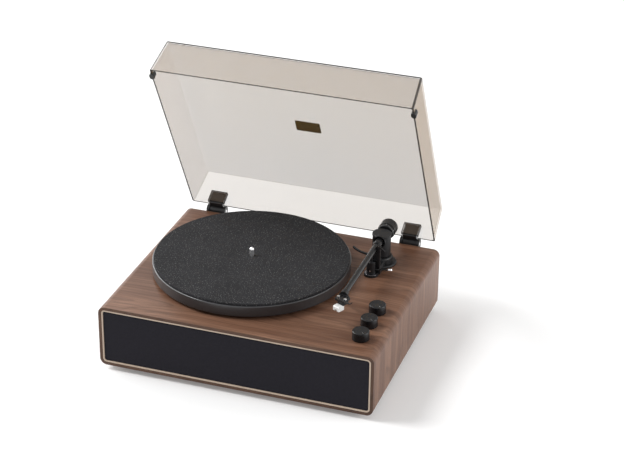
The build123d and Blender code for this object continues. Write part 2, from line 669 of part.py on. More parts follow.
def jack(x, neck_radius, bore_radius, proud, body_size):
    """Panel jack: a square body behind the plate and a round neck through it, bored from the rear."""
    half = body_size / 2
    body = block(x - half, x + half, REAR_Y - JACK_BODY_DEPTH, REAR_Y, MIDDLE_Z - half, MIDDLE_Z + half)
    mouth = JACK_PLATE_REAR_Y + proud
    neck = rod(neck_radius, (x, REAR_Y, MIDDLE_Z), (x, mouth, MIDDLE_Z))
    bore = rod(bore_radius, (x, REAR_Y - JACK_BODY_DEPTH + 3.0, MIDDLE_Z), (x, mouth, MIDDLE_Z))
    return body + neck - bore


def rca_jack(x):
    """Phono socket: an insulated collar in the plate and a bare barrel that the plug slides over."""
    proud = 0.8
    collar = jack(x, RCA_THREAD_RADIUS, RCA_BORE, proud, 13.0)
    start = (x, JACK_PLATE_REAR_Y + proud, MIDDLE_Z)
    end = (x, JACK_PLATE_REAR_Y + RCA_LENGTH, MIDDLE_Z)
    return collar + (rod(RCA_RADIUS, start, end) - rod(RCA_BORE, start, end))


def dc_inlet():
    """Power socket with its centre pin. The lead that goes in is not part of the model."""
    pin = rod(0.65, (DC_X, REAR_Y - JACK_BODY_DEPTH + 3.0, MIDDLE_Z), (DC_X, REAR_Y, MIDDLE_Z))
    return jack(DC_X, DC_RADIUS, DC_BORE, 0.6, 13.0) + pin


# Platter and drive
def platter():
    """Cast platter: deep rim, web with ribs under it, belt ring and hub boss."""
    rim_inner = PLATTER_RADIUS - PLATTER_RIM
    ring_inner = BELT_RING_RADIUS - BELT_RING_THICKNESS
    belt_ring_bottom = PLATTER_BOTTOM + 1.5
    outline = [
        (HUB_BOSS_RADIUS, PLATTER_TOP),
        (PLATTER_RADIUS - 1.3, PLATTER_TOP),
        (PLATTER_RADIUS - 0.4, PLATTER_TOP - 0.4),
        (PLATTER_RADIUS, PLATTER_TOP - 1.3),
        (PLATTER_RADIUS, PLATTER_BOTTOM + 0.8),
        (PLATTER_RADIUS - 0.8, PLATTER_BOTTOM),
        (rim_inner + 0.6, PLATTER_BOTTOM),
        (rim_inner - 1.5, WEB_BOTTOM),
        (BELT_RING_RADIUS, WEB_BOTTOM),
        (BELT_RING_RADIUS, belt_ring_bottom),
        (ring_inner, belt_ring_bottom),
        (ring_inner, WEB_BOTTOM),
        (HUB_BOSS_RADIUS, WEB_BOTTOM),
    ]
    casting = turned(outline, PLATTER_X, PLATTER_Y)
    rib_inner = HUB_RADIUS + 3.0
    rib_outer = ring_inner + 1.0
    for index in range(PLATTER_RIB_COUNT):
        rib = Pos((rib_inner + rib_outer) / 2, 0, WEB_BOTTOM - 1.4) * Box(rib_outer - rib_inner, 3.0, 3.0)
        casting += Pos(PLATTER_X, PLATTER_Y, 0) * Rot(0, 0, index * 360 / PLATTER_RIB_COUNT) * rib
    for angle in (PULLEY_DIRECTION, PULLEY_DIRECTION + 180):
        x = PLATTER_X + PULLEY_DISTANCE * cos(radians(angle))
        y = PLATTER_Y + PULLEY_DISTANCE * sin(radians(angle))
        casting -= disc(BELT_HOLE_RADIUS, x, y, WEB_BOTTOM, PLATTER_TOP)
    return casting


def platter_mat():
    outline = [
        (MAT_HOLE_RADIUS, PLATTER_TOP),
        (MAT_RADIUS, PLATTER_TOP),
        (MAT_RADIUS, MAT_TOP - 0.7),
        (MAT_RADIUS - 0.7, MAT_TOP),
        (MAT_HOLE_RADIUS, MAT_TOP),
    ]
    return turned(outline, PLATTER_X, PLATTER_Y)


def platter_hub():
    """Brass hub pressed on the spindle: the platter drops over its boss."""
    outline = [
        (JOURNAL_RADIUS, BEARING_TOP + MOVING_GAP),
        (HUB_BOSS_RADIUS, BEARING_TOP + MOVING_GAP),
        (HUB_BOSS_RADIUS, WEB_BOTTOM - 5.0),
        (HUB_RADIUS, WEB_BOTTOM - 4.0),
        (HUB_RADIUS, WEB_BOTTOM),
        (HUB_BOSS_RADIUS, WEB_BOTTOM),
        (HUB_BOSS_RADIUS, PLATTER_TOP),
        (JOURNAL_RADIUS, PLATTER_TOP),
    ]
    return turned(outline, PLATTER_X, PLATTER_Y)


def spindle():
    """Steel shaft: journal in the bearing, and a record pin with a rounded tip above the mat."""
    straight_top = MAT_TOP + SPINDLE_EXPOSED - SPINDLE_TIP
    outline = [
        (0, BEARING_TOP - BEARING_DEPTH + BEARING_FLOOR + 1.0),
        (JOURNAL_RADIUS - 1.0, BEARING_TOP - BEARING_DEPTH + BEARING_FLOOR + 1.0),
        (JOURNAL_RADIUS, BEARING_TOP - BEARING_DEPTH + BEARING_FLOOR + 2.0),
        (JOURNAL_RADIUS, PLATTER_TOP),
        (SPINDLE_RADIUS, PLATTER_TOP),
        (SPINDLE_RADIUS, straight_top),
        (SPINDLE_RADIUS * 0.86, straight_top + SPINDLE_TIP * 0.45),
        (SPINDLE_RADIUS * 0.5, straight_top + SPINDLE_TIP * 0.82),
        (0, straight_top + SPINDLE_TIP),
    ]
    return turned(outline, PLATTER_X, PLATTER_Y)


def main_bearing():
    """Flanged bush let into the deck, closed at the bottom."""
    bottom = BEARING_TOP - BEARING_DEPTH
    outline = [
        (0, bottom),
        (BEARING_RADIUS, bottom),
        (BEARING_RADIUS, DECK),
        (BEARING_FLANGE_RADIUS, DECK),
        (BEARING_FLANGE_RADIUS, BEARING_TOP),
        (JOURNAL_RADIUS + SHAFT_CLEARANCE, BEARING_TOP),
        (JOURNAL_RADIUS + SHAFT_CLEARANCE, bottom + BEARING_FLOOR),
        (0, bottom + BEARING_FLOOR),
    ]
    bearing = turned(outline, PLATTER_X, PLATTER_Y)
    for x, y in BEARING_SCREW_PLACES:
        bearing -= screw_hole(x, y, BEARING_TOP, (0, 0, -1), BEARING_SCREW_LENGTH)
        bearing -= disc(WOOD_SCREW_HEAD_RADIUS, x, y, BEARING_TOP - WOOD_SCREW_HEAD_HEIGHT, BEARING_TOP)
    return bearing


def bearing_screw(x, y):
    """Flush screw whose head is sunk in the bearing's flange."""
    seat = BEARING_TOP - WOOD_SCREW_HEAD_HEIGHT
    shank = disc(WOOD_SCREW_RADIUS, x, y, BEARING_TOP - BEARING_SCREW_LENGTH, seat)
    return shank + disc(WOOD_SCREW_HEAD_RADIUS, x, y, seat, BEARING_TOP)


def motor_pulley():
    bottom = BELT_Z - PULLEY_HEIGHT / 2
    top = BELT_Z + PULLEY_HEIGHT / 2
    lip = (PULLEY_HEIGHT - BELT_WIDTH) / 2 - 0.4
    outline = [
        (MOTOR_SHAFT_RADIUS, bottom),
        (PULLEY_RADIUS + 1.5, bottom),
        (PULLEY_RADIUS + 1.5, bottom + lip - 1.0),
        (PULLEY_RADIUS, bottom + lip),
        (PULLEY_RADIUS, top - lip),
        (PULLEY_RADIUS + 1.5, top - lip + 1.0),
        (PULLEY_RADIUS + 1.5, top),
        (MOTOR_SHAFT_RADIUS, top),
    ]
    return turned(outline, PULLEY_X, PULLEY_Y)


def motor_shaft():
    bottom = MOTOR_TOP - MOTOR_HEIGHT / 2
    return disc(MOTOR_SHAFT_RADIUS, PULLEY_X, PULLEY_Y, bottom, BELT_Z + PULLEY_HEIGHT / 2)


def motor():
    """Small can motor hung under its plate, with a nose around the shaft."""
    bore = MOTOR_SHAFT_RADIUS + SHAFT_CLEARANCE
    outline = [
        (0, MOTOR_TOP - MOTOR_HEIGHT),
        (MOTOR_RADIUS - 1.0, MOTOR_TOP - MOTOR_HEIGHT),
        (MOTOR_RADIUS, MOTOR_TOP - MOTOR_HEIGHT + 1.0),
        (MOTOR_RADIUS, MOTOR_TOP),
        (5.0, MOTOR_TOP),
        (5.0, MOTOR_TOP + MOTOR_PLATE_THICKNESS + 2.0),
        (bore, MOTOR_TOP + MOTOR_PLATE_THICKNESS + 2.0),
        (bore, MOTOR_TOP - MOTOR_HEIGHT / 2 - 0.5),
        (0, MOTOR_TOP - MOTOR_HEIGHT / 2 - 0.5),
    ]
    return turned(outline, PULLEY_X, PULLEY_Y)


def motor_plate():
    """Steel plate with three ears on rubber grommets."""
    face = Pos(PULLEY_X, PULLEY_Y, MOTOR_TOP) * Circle(MOTOR_RADIUS + 2.0)
    for x, y in MOTOR_MOUNT_PLACES:
        face += Pos(x, y, MOTOR_TOP) * Circle(6.0)
    plate = extrude(face, MOTOR_PLATE_THICKNESS)
    plate -= disc(5.0, PULLEY_X, PULLEY_Y, MOTOR_TOP, MOTOR_TOP + MOTOR_PLATE_THICKNESS)
    for x, y in MOTOR_MOUNT_PLACES:
        plate -= screw_hole(x, y, MOTOR_TOP, (0, 0, 1), MOTOR_SCREW_LENGTH)
    return plate


def motor_grommet(x, y):
    return ring(5.0, WOOD_SCREW_RADIUS, x, y, CEILING - GROMMET_HEIGHT, CEILING)


def belt_face(grow):
    """Closed outline of the belt's run round the ring and the pulley, grown outwards."""
    big = BELT_RING_RADIUS + grow
    small = PULLEY_RADIUS + grow
    lean = acos((big - small) / PULLEY_DISTANCE)
    points = []
    for radius, centre, angle in (
        (big, 0, lean),
        (big, 0, pi),
        (big, 0, -lean),
        (small, PULLEY_DISTANCE, -lean),
        (small, PULLEY_DISTANCE, 0),
        (small, PULLEY_DISTANCE, lean),
    ):
        points.append((centre + radius * cos(angle), radius * sin(angle)))
    outline = [
        ThreePointArc(points[0], points[1], points[2]),
        Line(points[2], points[3]),
        ThreePointArc(points[3], points[4], points[5]),
        Line(points[5], points[0]),
    ]
    return make_face(outline)


def drive_belt():
    loop = belt_face(BELT_CLEARANCE + BELT_THICKNESS) - belt_face(BELT_CLEARANCE)
    belt = extrude(loop, BELT_WIDTH)
    return Pos(PLATTER_X, PLATTER_Y, BELT_Z - BELT_WIDTH / 2) * Rot(0, 0, PULLEY_DIRECTION) * belt


# Knobs and the controls under the deck
def knob(y):
    """Round knob, hollow underneath, with a bevelled edge, a sunk pointer line and a boss for the shaft."""
    bottom = DECK + KNOB_GAP
    top = bottom + KNOB_HEIGHT
    roof = top - 3.0
    outline = [
        (CONTROL_SHAFT_RADIUS, bottom + 4.0),
        (CONTROL_SHAFT_RADIUS + 2.0, bottom + 4.0),
        (CONTROL_SHAFT_RADIUS + 2.0, roof),
        (KNOB_RADIUS - KNOB_WALL, roof),
        (KNOB_RADIUS - KNOB_WALL, bottom),
        (KNOB_RADIUS, bottom),
        (KNOB_RADIUS, bottom + 1.2),
        (KNOB_RADIUS - 0.25, top - 1.0),
        (KNOB_RADIUS - 1.1, top),
        (0, top - 0.25),
        (0, roof),
        (CONTROL_SHAFT_RADIUS, roof),
    ]
    body = turned(outline, KNOB_X, y)
    groove = Pos(KNOB_RADIUS * 0.62, 0, top) * Box(KNOB_RADIUS * 0.5, 0.9, 1.4)
    return body - Pos(KNOB_X, y, 0) * Rot(0, 0, KNOB_POINTER_ANGLE) * groove


def control_shaft(y):
    """Shaft from inside the control up to the knob's roof."""
    return disc(CONTROL_SHAFT_RADIUS, KNOB_X, y, CONTROL_CEILING - 6.0, DECK + KNOB_GAP + KNOB_HEIGHT - 3.0)


def control_body(y):
    """Rotary control: a round can with a threaded bush up through the deck and three solder tags."""
    bottom = CONTROL_CEILING - CONTROL_BODY_HEIGHT
    bush_top = DECK + CONTROL_NUT_HEIGHT + 0.8
    bore = CONTROL_SHAFT_RADIUS + SHAFT_CLEARANCE
    outline = [
        (0, bottom),
        (CONTROL_BODY_RADIUS - 0.8, bottom),
        (CONTROL_BODY_RADIUS, bottom + 0.8),
        (CONTROL_BODY_RADIUS, CONTROL_CEILING),
        (CONTROL_BUSH_RADIUS, CONTROL_CEILING),
        (CONTROL_BUSH_RADIUS, bush_top),
        (bore, bush_top),
        (bore, CONTROL_CEILING - 6.5),
        (0, CONTROL_CEILING - 6.5),
    ]
    can = turned(outline, KNOB_X, y)
    for step in (-1, 0, 1):
        can += block(
            KNOB_X - CONTROL_BODY_RADIUS - 5.0,
            KNOB_X - CONTROL_BODY_RADIUS + 1.0,
            y + step * 5.0 - 1.2,
            y + step * 5.0 + 1.2,
            bottom + 0.3,
            bottom + 1.1,
        )
    return can


def hex_nut(across, bore, x, y, bottom, height):
    face = Pos(x, y, bottom) * (RegularPolygon(across / 2, 6, major_radius=False) - Circle(bore))
    return extrude(face, height)


# Dust cover and hinges, closed position
COVER_TOP = COVER_RIM + COVER_HEIGHT
COVER_TOP_SHIFT = (COVER_FRONT_DRAFT - COVER_REAR_DRAFT) / 2
HINGE_LINE = Axis((0, HINGE_AXIS_Y, HINGE_AXIS_Z), (1, 0, 0))
NECK_BOTTOM = DECK + 0.7
NECK_TOP = NECK_BOTTOM + TONGUE_THICKNESS + 0.3
NOTCH_TOP = NECK_TOP + 0.6
TONGUE_REAR_Y = COVER_REAR_Y - COVER_WALL - TONGUE_CLEARANCE - 0.3
TONGUE_FRONT_Y = TONGUE_REAR_Y - TONGUE_THICKNESS


def opened(solid):
    """Swing a piece of the closed cover up to its open angle."""
    return solid.rotate(HINGE_LINE, -COVER_OPEN_ANGLE)


def cover_skin(inset, bottom, top):
    """Drafted block of the cover's outline, drawn in by an inset, from a level under the rim to a top."""
    rise = COVER_HEIGHT
    low = (bottom - COVER_RIM) / rise
    high = (top - COVER_RIM) / rise
    faces = []
    for level, share in ((bottom, low), (top, high)):
        width = COVER_WIDTH - 2 * COVER_SIDE_DRAFT * share - 2 * inset
        depth = COVER_DEPTH - (COVER_FRONT_DRAFT + COVER_REAR_DRAFT) * share - 2 * inset
        middle = Pos(0, COVER_MIDDLE_Y + COVER_TOP_SHIFT * share, level)
        faces.append(middle * RectangleRounded(width, depth, COVER_CORNER))
    return loft(faces, ruled=True)


def hinge_pocket(x):
    """Moulded pocket on the inside of the rear wall, open below, that the hinge's tongue fills."""
    outer = block(
        x - POCKET_WIDTH / 2,
        x + POCKET_WIDTH / 2,
        TONGUE_FRONT_Y - TONGUE_CLEARANCE - POCKET_WALL,
        COVER_REAR_Y - COVER_WALL / 2 - COVER_REAR_DRAFT * POCKET_HEIGHT / COVER_HEIGHT,
        COVER_RIM + 1.0,
        COVER_RIM + POCKET_HEIGHT,
    )
    return outer


def pocket_space(x):
    """Room for the tongue inside a pocket, and the notch under it through the rear wall."""
    half = POCKET_WIDTH / 2 - POCKET_WALL
    tongue_room = block(
        x - half,
        x + half,
        TONGUE_FRONT_Y - TONGUE_CLEARANCE,
        TONGUE_REAR_Y + TONGUE_CLEARANCE,
        COVER_RIM - 1.0,
        COVER_RIM + POCKET_HEIGHT - POCKET_WALL,
    )
    notch_front = TONGUE_FRONT_Y - TONGUE_CLEARANCE
    notch = block(x - half, x + half, notch_front, COVER_REAR_Y + 1.0, COVER_RIM - 1.0, NOTCH_TOP)
    return tongue_room + notch


def dust_cover():
    """Smoked cover: drafted shell, open below, with a pocket for each hinge."""
    shell = cover_skin(0, COVER_RIM, COVER_TOP)
    shell = fillet(shell.edges().group_by(Axis.Z)[-1], 1.2)
    shell -= cover_skin(COVER_WALL, COVER_RIM - 1.0, COVER_TOP - COVER_WALL)
    for side in (-1, 1):
        shell += hinge_pocket(side * HINGE_X)
    for side in (-1, 1):
        shell -= pocket_space(side * HINGE_X)
    return opened(shell)


def cover_badge():
    """Bare metal plate on the middle of the cover's top."""
    outline = RectangleRounded(BADGE_WIDTH, BADGE_DEPTH, 1.5)
    face = Pos(0, COVER_MIDDLE_Y + COVER_TOP_SHIFT, COVER_TOP) * outline
    return opened(chamfer(extrude(face, BADGE_THICKNESS).edges().group_by(Axis.Z)[-1], 0.3))


def cover_bumper(side):
    """Rubber clip over the rim of a side wall, near the front."""
    x = side * (COVER_WIDTH / 2 - COVER_WALL / 2)
    y = COVER_FRONT_Y + BUMPER_FROM_FRONT
    bottom = COVER_RIM - COVER_GAP + 0.3
    outline = RectangleRounded(BUMPER_WIDTH, BUMPER_LENGTH, BUMPER_WIDTH / 2 - 0.1)
    body = extrude(Pos(x, y, bottom) * outline, BUMPER_HEIGHT)
    return opened(body - cover_skin(0, COVER_RIM, COVER_TOP) + cover_bumper_grip(body))


def cover_bumper_grip(body):
    """The part of a bumper that lies inside the cover's wall."""
    return body & cover_skin(COVER_WALL, COVER_RIM, COVER_TOP - COVER_WALL)


def hinge_arm(side):
    """Barrel between the bracket's cheeks, a neck over the deck's edge and a tongue up in the pocket."""
    x = side * HINGE_X
    half = HINGE_WIDTH / 2 - HINGE_CHEEK - HINGE_SIDE_CLEARANCE
    half = min(half, POCKET_WIDTH / 2 - POCKET_WALL - TONGUE_CLEARANCE)
    left = (x - half, HINGE_AXIS_Y, HINGE_AXIS_Z)
    right = (x + half, HINGE_AXIS_Y, HINGE_AXIS_Z)
    barrel = rod(HINGE_BARREL_RADIUS, left, right)
    neck = block(x - half, x + half, TONGUE_FRONT_Y, HINGE_AXIS_Y, NECK_BOTTOM, NECK_TOP)
    tongue_top = COVER_RIM + POCKET_HEIGHT - POCKET_WALL - 0.4
    tongue = block(x - half, x + half, TONGUE_FRONT_Y, TONGUE_REAR_Y, NECK_BOTTOM, tongue_top)
    arm = barrel + neck + tongue
    return opened(arm - rod(HINGE_PIN_RADIUS + SHAFT_CLEARANCE, left, right))


def hinge_bracket(side):
    """Plate screwed to the cabinet's rear, with two rounded cheeks for the pin."""
    x = side * HINGE_X
    plate_bottom = DECK - HINGE_PLATE_HEIGHT
    face = facing_front(x, HINGE_PLATE_REAR_Y, DECK - HINGE_PLATE_HEIGHT / 2)
    bracket = extrude(face * RectangleRounded(HINGE_WIDTH, HINGE_PLATE_HEIGHT, 2.0), HINGE_PLATE_THICKNESS)
    for end in (-1, 1):
        x_out = x + end * HINGE_WIDTH / 2
        x_in = x_out - end * HINGE_CHEEK
        low = min(x_out, x_in)
        web = make_face(
            Polyline(
                (low, REAR_Y, plate_bottom + 3.0),
                (low, REAR_Y + HINGE_PLATE_THICKNESS + 1.0, plate_bottom + 3.0),
                (low, HINGE_AXIS_Y + HINGE_EAR_RADIUS, HINGE_AXIS_Z),
                (low, REAR_Y, HINGE_AXIS_Z),
                close=True,
            )
        )
        bracket += extrude(web, HINGE_CHEEK, dir=(1, 0, 0))
        ear_start = (low, HINGE_AXIS_Y, HINGE_AXIS_Z)
        bracket += rod(HINGE_EAR_RADIUS, ear_start, (low + HINGE_CHEEK, HINGE_AXIS_Y, HINGE_AXIS_Z))
    room = HINGE_WIDTH / 2 - HINGE_CHEEK
    left = (x - room, HINGE_AXIS_Y, HINGE_AXIS_Z)
    bracket -= rod(HINGE_BARREL_RADIUS + 0.4, left, (x + room, HINGE_AXIS_Y, HINGE_AXIS_Z))
    bracket -= hinge_pin(side)
    for z in HINGE_SCREW_LEVELS:
        bracket -= screw_hole(x, HINGE_PLATE_REAR_Y, z, (0, -1, 0), HINGE_SCREW_LENGTH)
    return bracket


def hinge_pin(side):
    x = side * HINGE_X
    half = HINGE_WIDTH / 2
    left = (x - half, HINGE_AXIS_Y, HINGE_AXIS_Z)
    return rod(HINGE_PIN_RADIUS, left, (x + half, HINGE_AXIS_Y, HINGE_AXIS_Z))


# Tonearm base, lift and rest
def arm_base():
    """Moulded base: flange, domed neck for the bearing, and a foot that carries the lift and rest."""
    flange = turned(
        [
            (0, DECK),
            (BASE_FLANGE_RADIUS, DECK),
            (BASE_FLANGE_RADIUS, DECK + 1.6),
            (BASE_FLANGE_RADIUS - 1.4, DECK + BASE_FLANGE_THICKNESS),
            (0, DECK + BASE_FLANGE_THICKNESS),
        ],
        PIVOT_X,
        PIVOT_Y,
    )
    neck = turned(
        [
            (0, DECK),
            (NECK_RADIUS, DECK),
            (NECK_RADIUS, DECK + NECK_RISE - 3.0),
            (NECK_RADIUS - 1.0, DECK + NECK_RISE - 0.9),
            (NECK_RADIUS - 3.0, DECK + NECK_RISE),
            (0, DECK + NECK_RISE),
        ],
        PIVOT_X,
        PIVOT_Y,
    )
    half = LIFT_FLANGE_RADIUS
    tread = block(LIFT_X - half, LIFT_X + half, LIFT_Y, PIVOT_Y, DECK, DECK + BASE_FLANGE_THICKNESS)
    tread += disc(LIFT_FLANGE_RADIUS, LIFT_X, LIFT_Y, DECK, DECK + BASE_FLANGE_THICKNESS)
    saddle = chamfer(saddle_block().edges().group_by(Axis.Z)[-1], 1.0)
    tower = disc(LIFT_BODY_RADIUS, LIFT_X, LIFT_Y, DECK, DECK + LIFT_BODY_TOP)
    tower = chamfer(tower.edges().group_by(Axis.Z)[-1], 0.8)
    base = flange + neck + tread + saddle + tower + arm_rest()
    base += disc(STEM_RADIUS, PIVOT_X, PIVOT_Y, DECK - STEM_LENGTH, DECK)
    bore = YAW_PIN_RADIUS + SHAFT_CLEARANCE
    base -= disc(bore, PIVOT_X, PIVOT_Y, DECK - STEM_LENGTH + 4.0, DECK + NECK_RISE)
    slot_low = LEVER_Z - LEVER_HUB_RADIUS - 0.6
    base -= block(
        LIFT_X - LEVER_HUB_RADIUS - 0.6,
        LIFT_X + LIFT_BODY_RADIUS + 4.0,
        LIFT_Y - LEVER_SLOT_WIDTH / 2,
        LIFT_Y + LEVER_SLOT_WIDTH / 2,
        slot_low,
        DECK + LIFT_BODY_TOP,
    )
    base -= disc(PISTON_RADIUS + SHAFT_CLEARANCE, LIFT_X, LIFT_Y, LEVER_Z, DECK + LIFT_BODY_TOP)
    base -= lever_pin()
    return base


def saddle_block():
    """Raised part of the base between the neck and the rest."""
    middle = PIVOT_X + 1.0
    return block(middle - 9.0, middle + 9.0, REST_Y - REST_LENGTH / 2, PIVOT_Y, DECK, DECK + NECK_RISE - 3.0)


def arm_rest():
    """Post on the saddle with a shallow cradle under the tube and a wall on its outer side."""
    cradle = TUBE_Z - TUBE_RADIUS - REST_GAP
    wall_low = PIVOT_X + TUBE_RADIUS + REST_GAP
    wall_high = wall_low + REST_WALL
    y_low = REST_Y - REST_LENGTH / 2
    y_high = REST_Y + REST_LENGTH / 2
    post = block(PIVOT_X - TUBE_RADIUS, wall_high, y_low, y_high, DECK, cradle)
    post += block(wall_low, wall_high, y_low, y_high, DECK, LATCH_Z)
    post += along_latch(REST_WALL / 2, REST_LENGTH / 2)
    slot = REST_LENGTH / 2 - REST_CHEEK
    reach = REST_WALL / 2 + 1.0
    floor = LATCH_Z - LATCH_SLOT_DEPTH
    post -= block(LATCH_X - reach, LATCH_X + reach, REST_Y - slot, REST_Y + slot, floor, LATCH_Z + reach)
    return post - along_latch(LATCH_PIN_RADIUS, REST_LENGTH / 2)


def along_latch(radius, half):
    """Round bar along the latch's pin, centred on the rest."""
    return rod(radius, (LATCH_X, REST_Y - half, LATCH_Z), (LATCH_X, REST_Y + half, LATCH_Z))


def rest_latch():
    """Small bar, drawn closed over the raised tube, and swung back to where it stands open."""
    half = REST_LENGTH / 2 - REST_CHEEK - MOVING_GAP
    y_low = REST_Y - half
    y_high = REST_Y + half
    low = LATCH_Z + LATCH_OVER_PIN
    end = LATCH_X - LATCH_LENGTH
    tip_radius = LATCH_THICKNESS * 0.8
    latch = along_latch(REST_WALL / 2, half)
    latch += block(end, LATCH_X + 1.0, y_low, y_high, low, low + LATCH_THICKNESS)
    latch += rod(tip_radius, (end, y_low, low + tip_radius), (end, y_high, low + tip_radius))
    latch -= along_latch(LATCH_PIN_RADIUS + SHAFT_CLEARANCE, half)
    return latch.rotate(Axis((LATCH_X, REST_Y, LATCH_Z), (0, 1, 0)), LATCH_OPEN_ANGLE)


def lift_ring():
    """Bright ring round the foot of the lift's tower."""
    bottom = DECK + BASE_FLANGE_THICKNESS
    top = bottom + LIFT_RING_THICKNESS
    return ring(LIFT_FLANGE_RADIUS - 0.8, LIFT_BODY_RADIUS, LIFT_X, LIFT_Y, bottom, top) - saddle_block()


def lift_piston():
    """Pin that slides in the tower, from over the lever's hub to the bar."""
    bottom = LEVER_Z + LEVER_HUB_RADIUS + MOVING_GAP
    return disc(PISTON_RADIUS, LIFT_X, LIFT_Y, bottom, LIFT_BAR_TOP - LIFT_BAR_HEIGHT)


def lift_bar():
    """Curved bar under the tube, centred on the arm's pivot, on a pad over the piston."""
    outer = LIFT_BAR_RADIUS + LIFT_BAR_WIDTH / 2
    inner = LIFT_BAR_RADIUS - LIFT_BAR_WIDTH / 2
    corners = []
    for radius in (outer, inner):
        for angle in (LIFT_BAR_START, (LIFT_BAR_START + LIFT_BAR_END) / 2, LIFT_BAR_END):
            corners.append((PIVOT_X - radius * sin(radians(angle)), PIVOT_Y - radius * cos(radians(angle))))
    outline = [
        ThreePointArc(corners[0], corners[1], corners[2]),
        Line(corners[2], corners[5]),
        ThreePointArc(corners[5], corners[4], corners[3]),
        Line(corners[3], corners[0]),
    ]
    bar = extrude(Pos(0, 0, LIFT_BAR_TOP - LIFT_BAR_HEIGHT) * make_face(outline), LIFT_BAR_HEIGHT)
    pad = disc(PISTON_RADIUS + 1.2, LIFT_X, LIFT_Y, LIFT_BAR_TOP - LIFT_BAR_HEIGHT, LIFT_BAR_TOP)
    return bar + pad


def lever_pin():
    reach = LIFT_BODY_RADIUS
    return rod(LEVER_PIN_RADIUS, (LIFT_X, LIFT_Y - reach, LEVER_Z), (LIFT_X, LIFT_Y + reach, LEVER_Z))


def cue_lever():
    """Hub in the tower's slot and a straight rod out to the right, a little raised."""
    half = LEVER_HUB_WIDTH / 2
    hub = rod(LEVER_HUB_RADIUS, (LIFT_X, LIFT_Y - half, LEVER_Z), (LIFT_X, LIFT_Y + half, LEVER_Z))
    end = lever_point(LEVER_LENGTH - LEVER_TIP_LENGTH)
    lever = hub + rod(LEVER_RADIUS, (LIFT_X, LIFT_Y, LEVER_Z), end)
    bore = LEVER_PIN_RADIUS + SHAFT_CLEARANCE
    return lever - rod(bore, (LIFT_X, LIFT_Y - half, LEVER_Z), (LIFT_X, LIFT_Y + half, LEVER_Z))


def lever_point(distance):
    """Point on the cue lever's centre line, at a distance from its pin."""
    return (
        LIFT_X + distance * cos(radians(LEVER_TILT)),
        LIFT_Y,
        LEVER_Z + distance * sin(radians(LEVER_TILT)),
    )


def lever_tip():
    """Bright tip on the end of the cue lever."""
    start = lever_point(LEVER_LENGTH - LEVER_TIP_LENGTH)
    tip = rod(LEVER_TIP_RADIUS, start, lever_point(LEVER_LENGTH))
    return chamfer(tip.edges().filter_by(GeomType.CIRCLE), 0.7)


# Moving housing of the tonearm
def arm_housing():
    """Round housing that turns on the base, bored through for the arm and cross-bored for its pivots."""
    body = turned(
        [
            (YAW_PIN_RADIUS, HOUSING_BOTTOM),
            (HOUSING_RADIUS - 0.6, HOUSING_BOTTOM),
            (HOUSING_RADIUS, HOUSING_BOTTOM + 0.6),
            (HOUSING_RADIUS, HOUSING_TOP - 4.2),
            (HOUSING_RADIUS + 0.6, HOUSING_TOP - 3.6),
            (HOUSING_RADIUS + 0.6, HOUSING_TOP - 1.0),
            (HOUSING_RADIUS - 0.4, HOUSING_TOP),
            (0, HOUSING_TOP),
            (0, HOUSING_BOTTOM + 8.0),
            (YAW_PIN_RADIUS, HOUSING_BOTTOM + 8.0),
        ],
        PIVOT_X,
        PIVOT_Y,
    )
    reach = HOUSING_RADIUS + 2.0
    body -= rod(HOUSING_BORE, (PIVOT_X, PIVOT_Y - reach, TUBE_Z), (PIVOT_X, PIVOT_Y + reach, TUBE_Z))
    rim_front = PIVOT_Y - HOUSING_RADIUS - 0.3
    rim = rod(HOUSING_BORE + 1.4, (PIVOT_X, rim_front, TUBE_Z), (PIVOT_X, PIVOT_Y - 8.0, TUBE_Z))
    rim -= rod(HOUSING_BORE, (PIVOT_X, PIVOT_Y - reach, TUBE_Z), (PIVOT_X, PIVOT_Y, TUBE_Z))
    body += rim
    body -= rod(PIVOT_SCREW_RADIUS, (PIVOT_X - reach, PIVOT_Y, TUBE_Z), (PIVOT_X + reach, PIVOT_Y, TUBE_Z))
    return body


def yaw_pin():
    return disc(YAW_PIN_RADIUS, PIVOT_X, PIVOT_Y, DECK - STEM_LENGTH + 6.0, HOUSING_BOTTOM + 8.0)


def pivot_screw(side):
    """Pointed screw through the housing's side that carries the arm."""
    seat = PIVOT_X + side * (HOUSING_RADIUS - 0.6)
    nose = PIVOT_X + side * (SLEEVE_RADIUS + MOVING_GAP)
    point = PIVOT_X + side * (SLEEVE_RADIUS - 2.0)
    body = rod(PIVOT_SCREW_RADIUS, (seat, PIVOT_Y, TUBE_Z), (nose, PIVOT_Y, TUBE_Z))
    return body + rod(PIVOT_POINT_RADIUS, (nose, PIVOT_Y, TUBE_Z), (point, PIVOT_Y, TUBE_Z))


# Arm: tube, sleeve, headshell, cartridge and balance weight
ARM_TIP_Y = PIVOT_Y - HEADSHELL_REACH
HEAD_ORIGIN_Z = TUBE_Z + HEADSHELL_RISE


def in_head(solid):
    """Turn a piece drawn about the headshell's middle line to its offset angle at the tube's end."""
    turn = Rot(0, 0, -HEADSHELL_ANGLE) * Pos(HEAD_SIDE_SHIFT, 0, 0)
    return Pos(PIVOT_X, ARM_TIP_Y, 0) * turn * solid


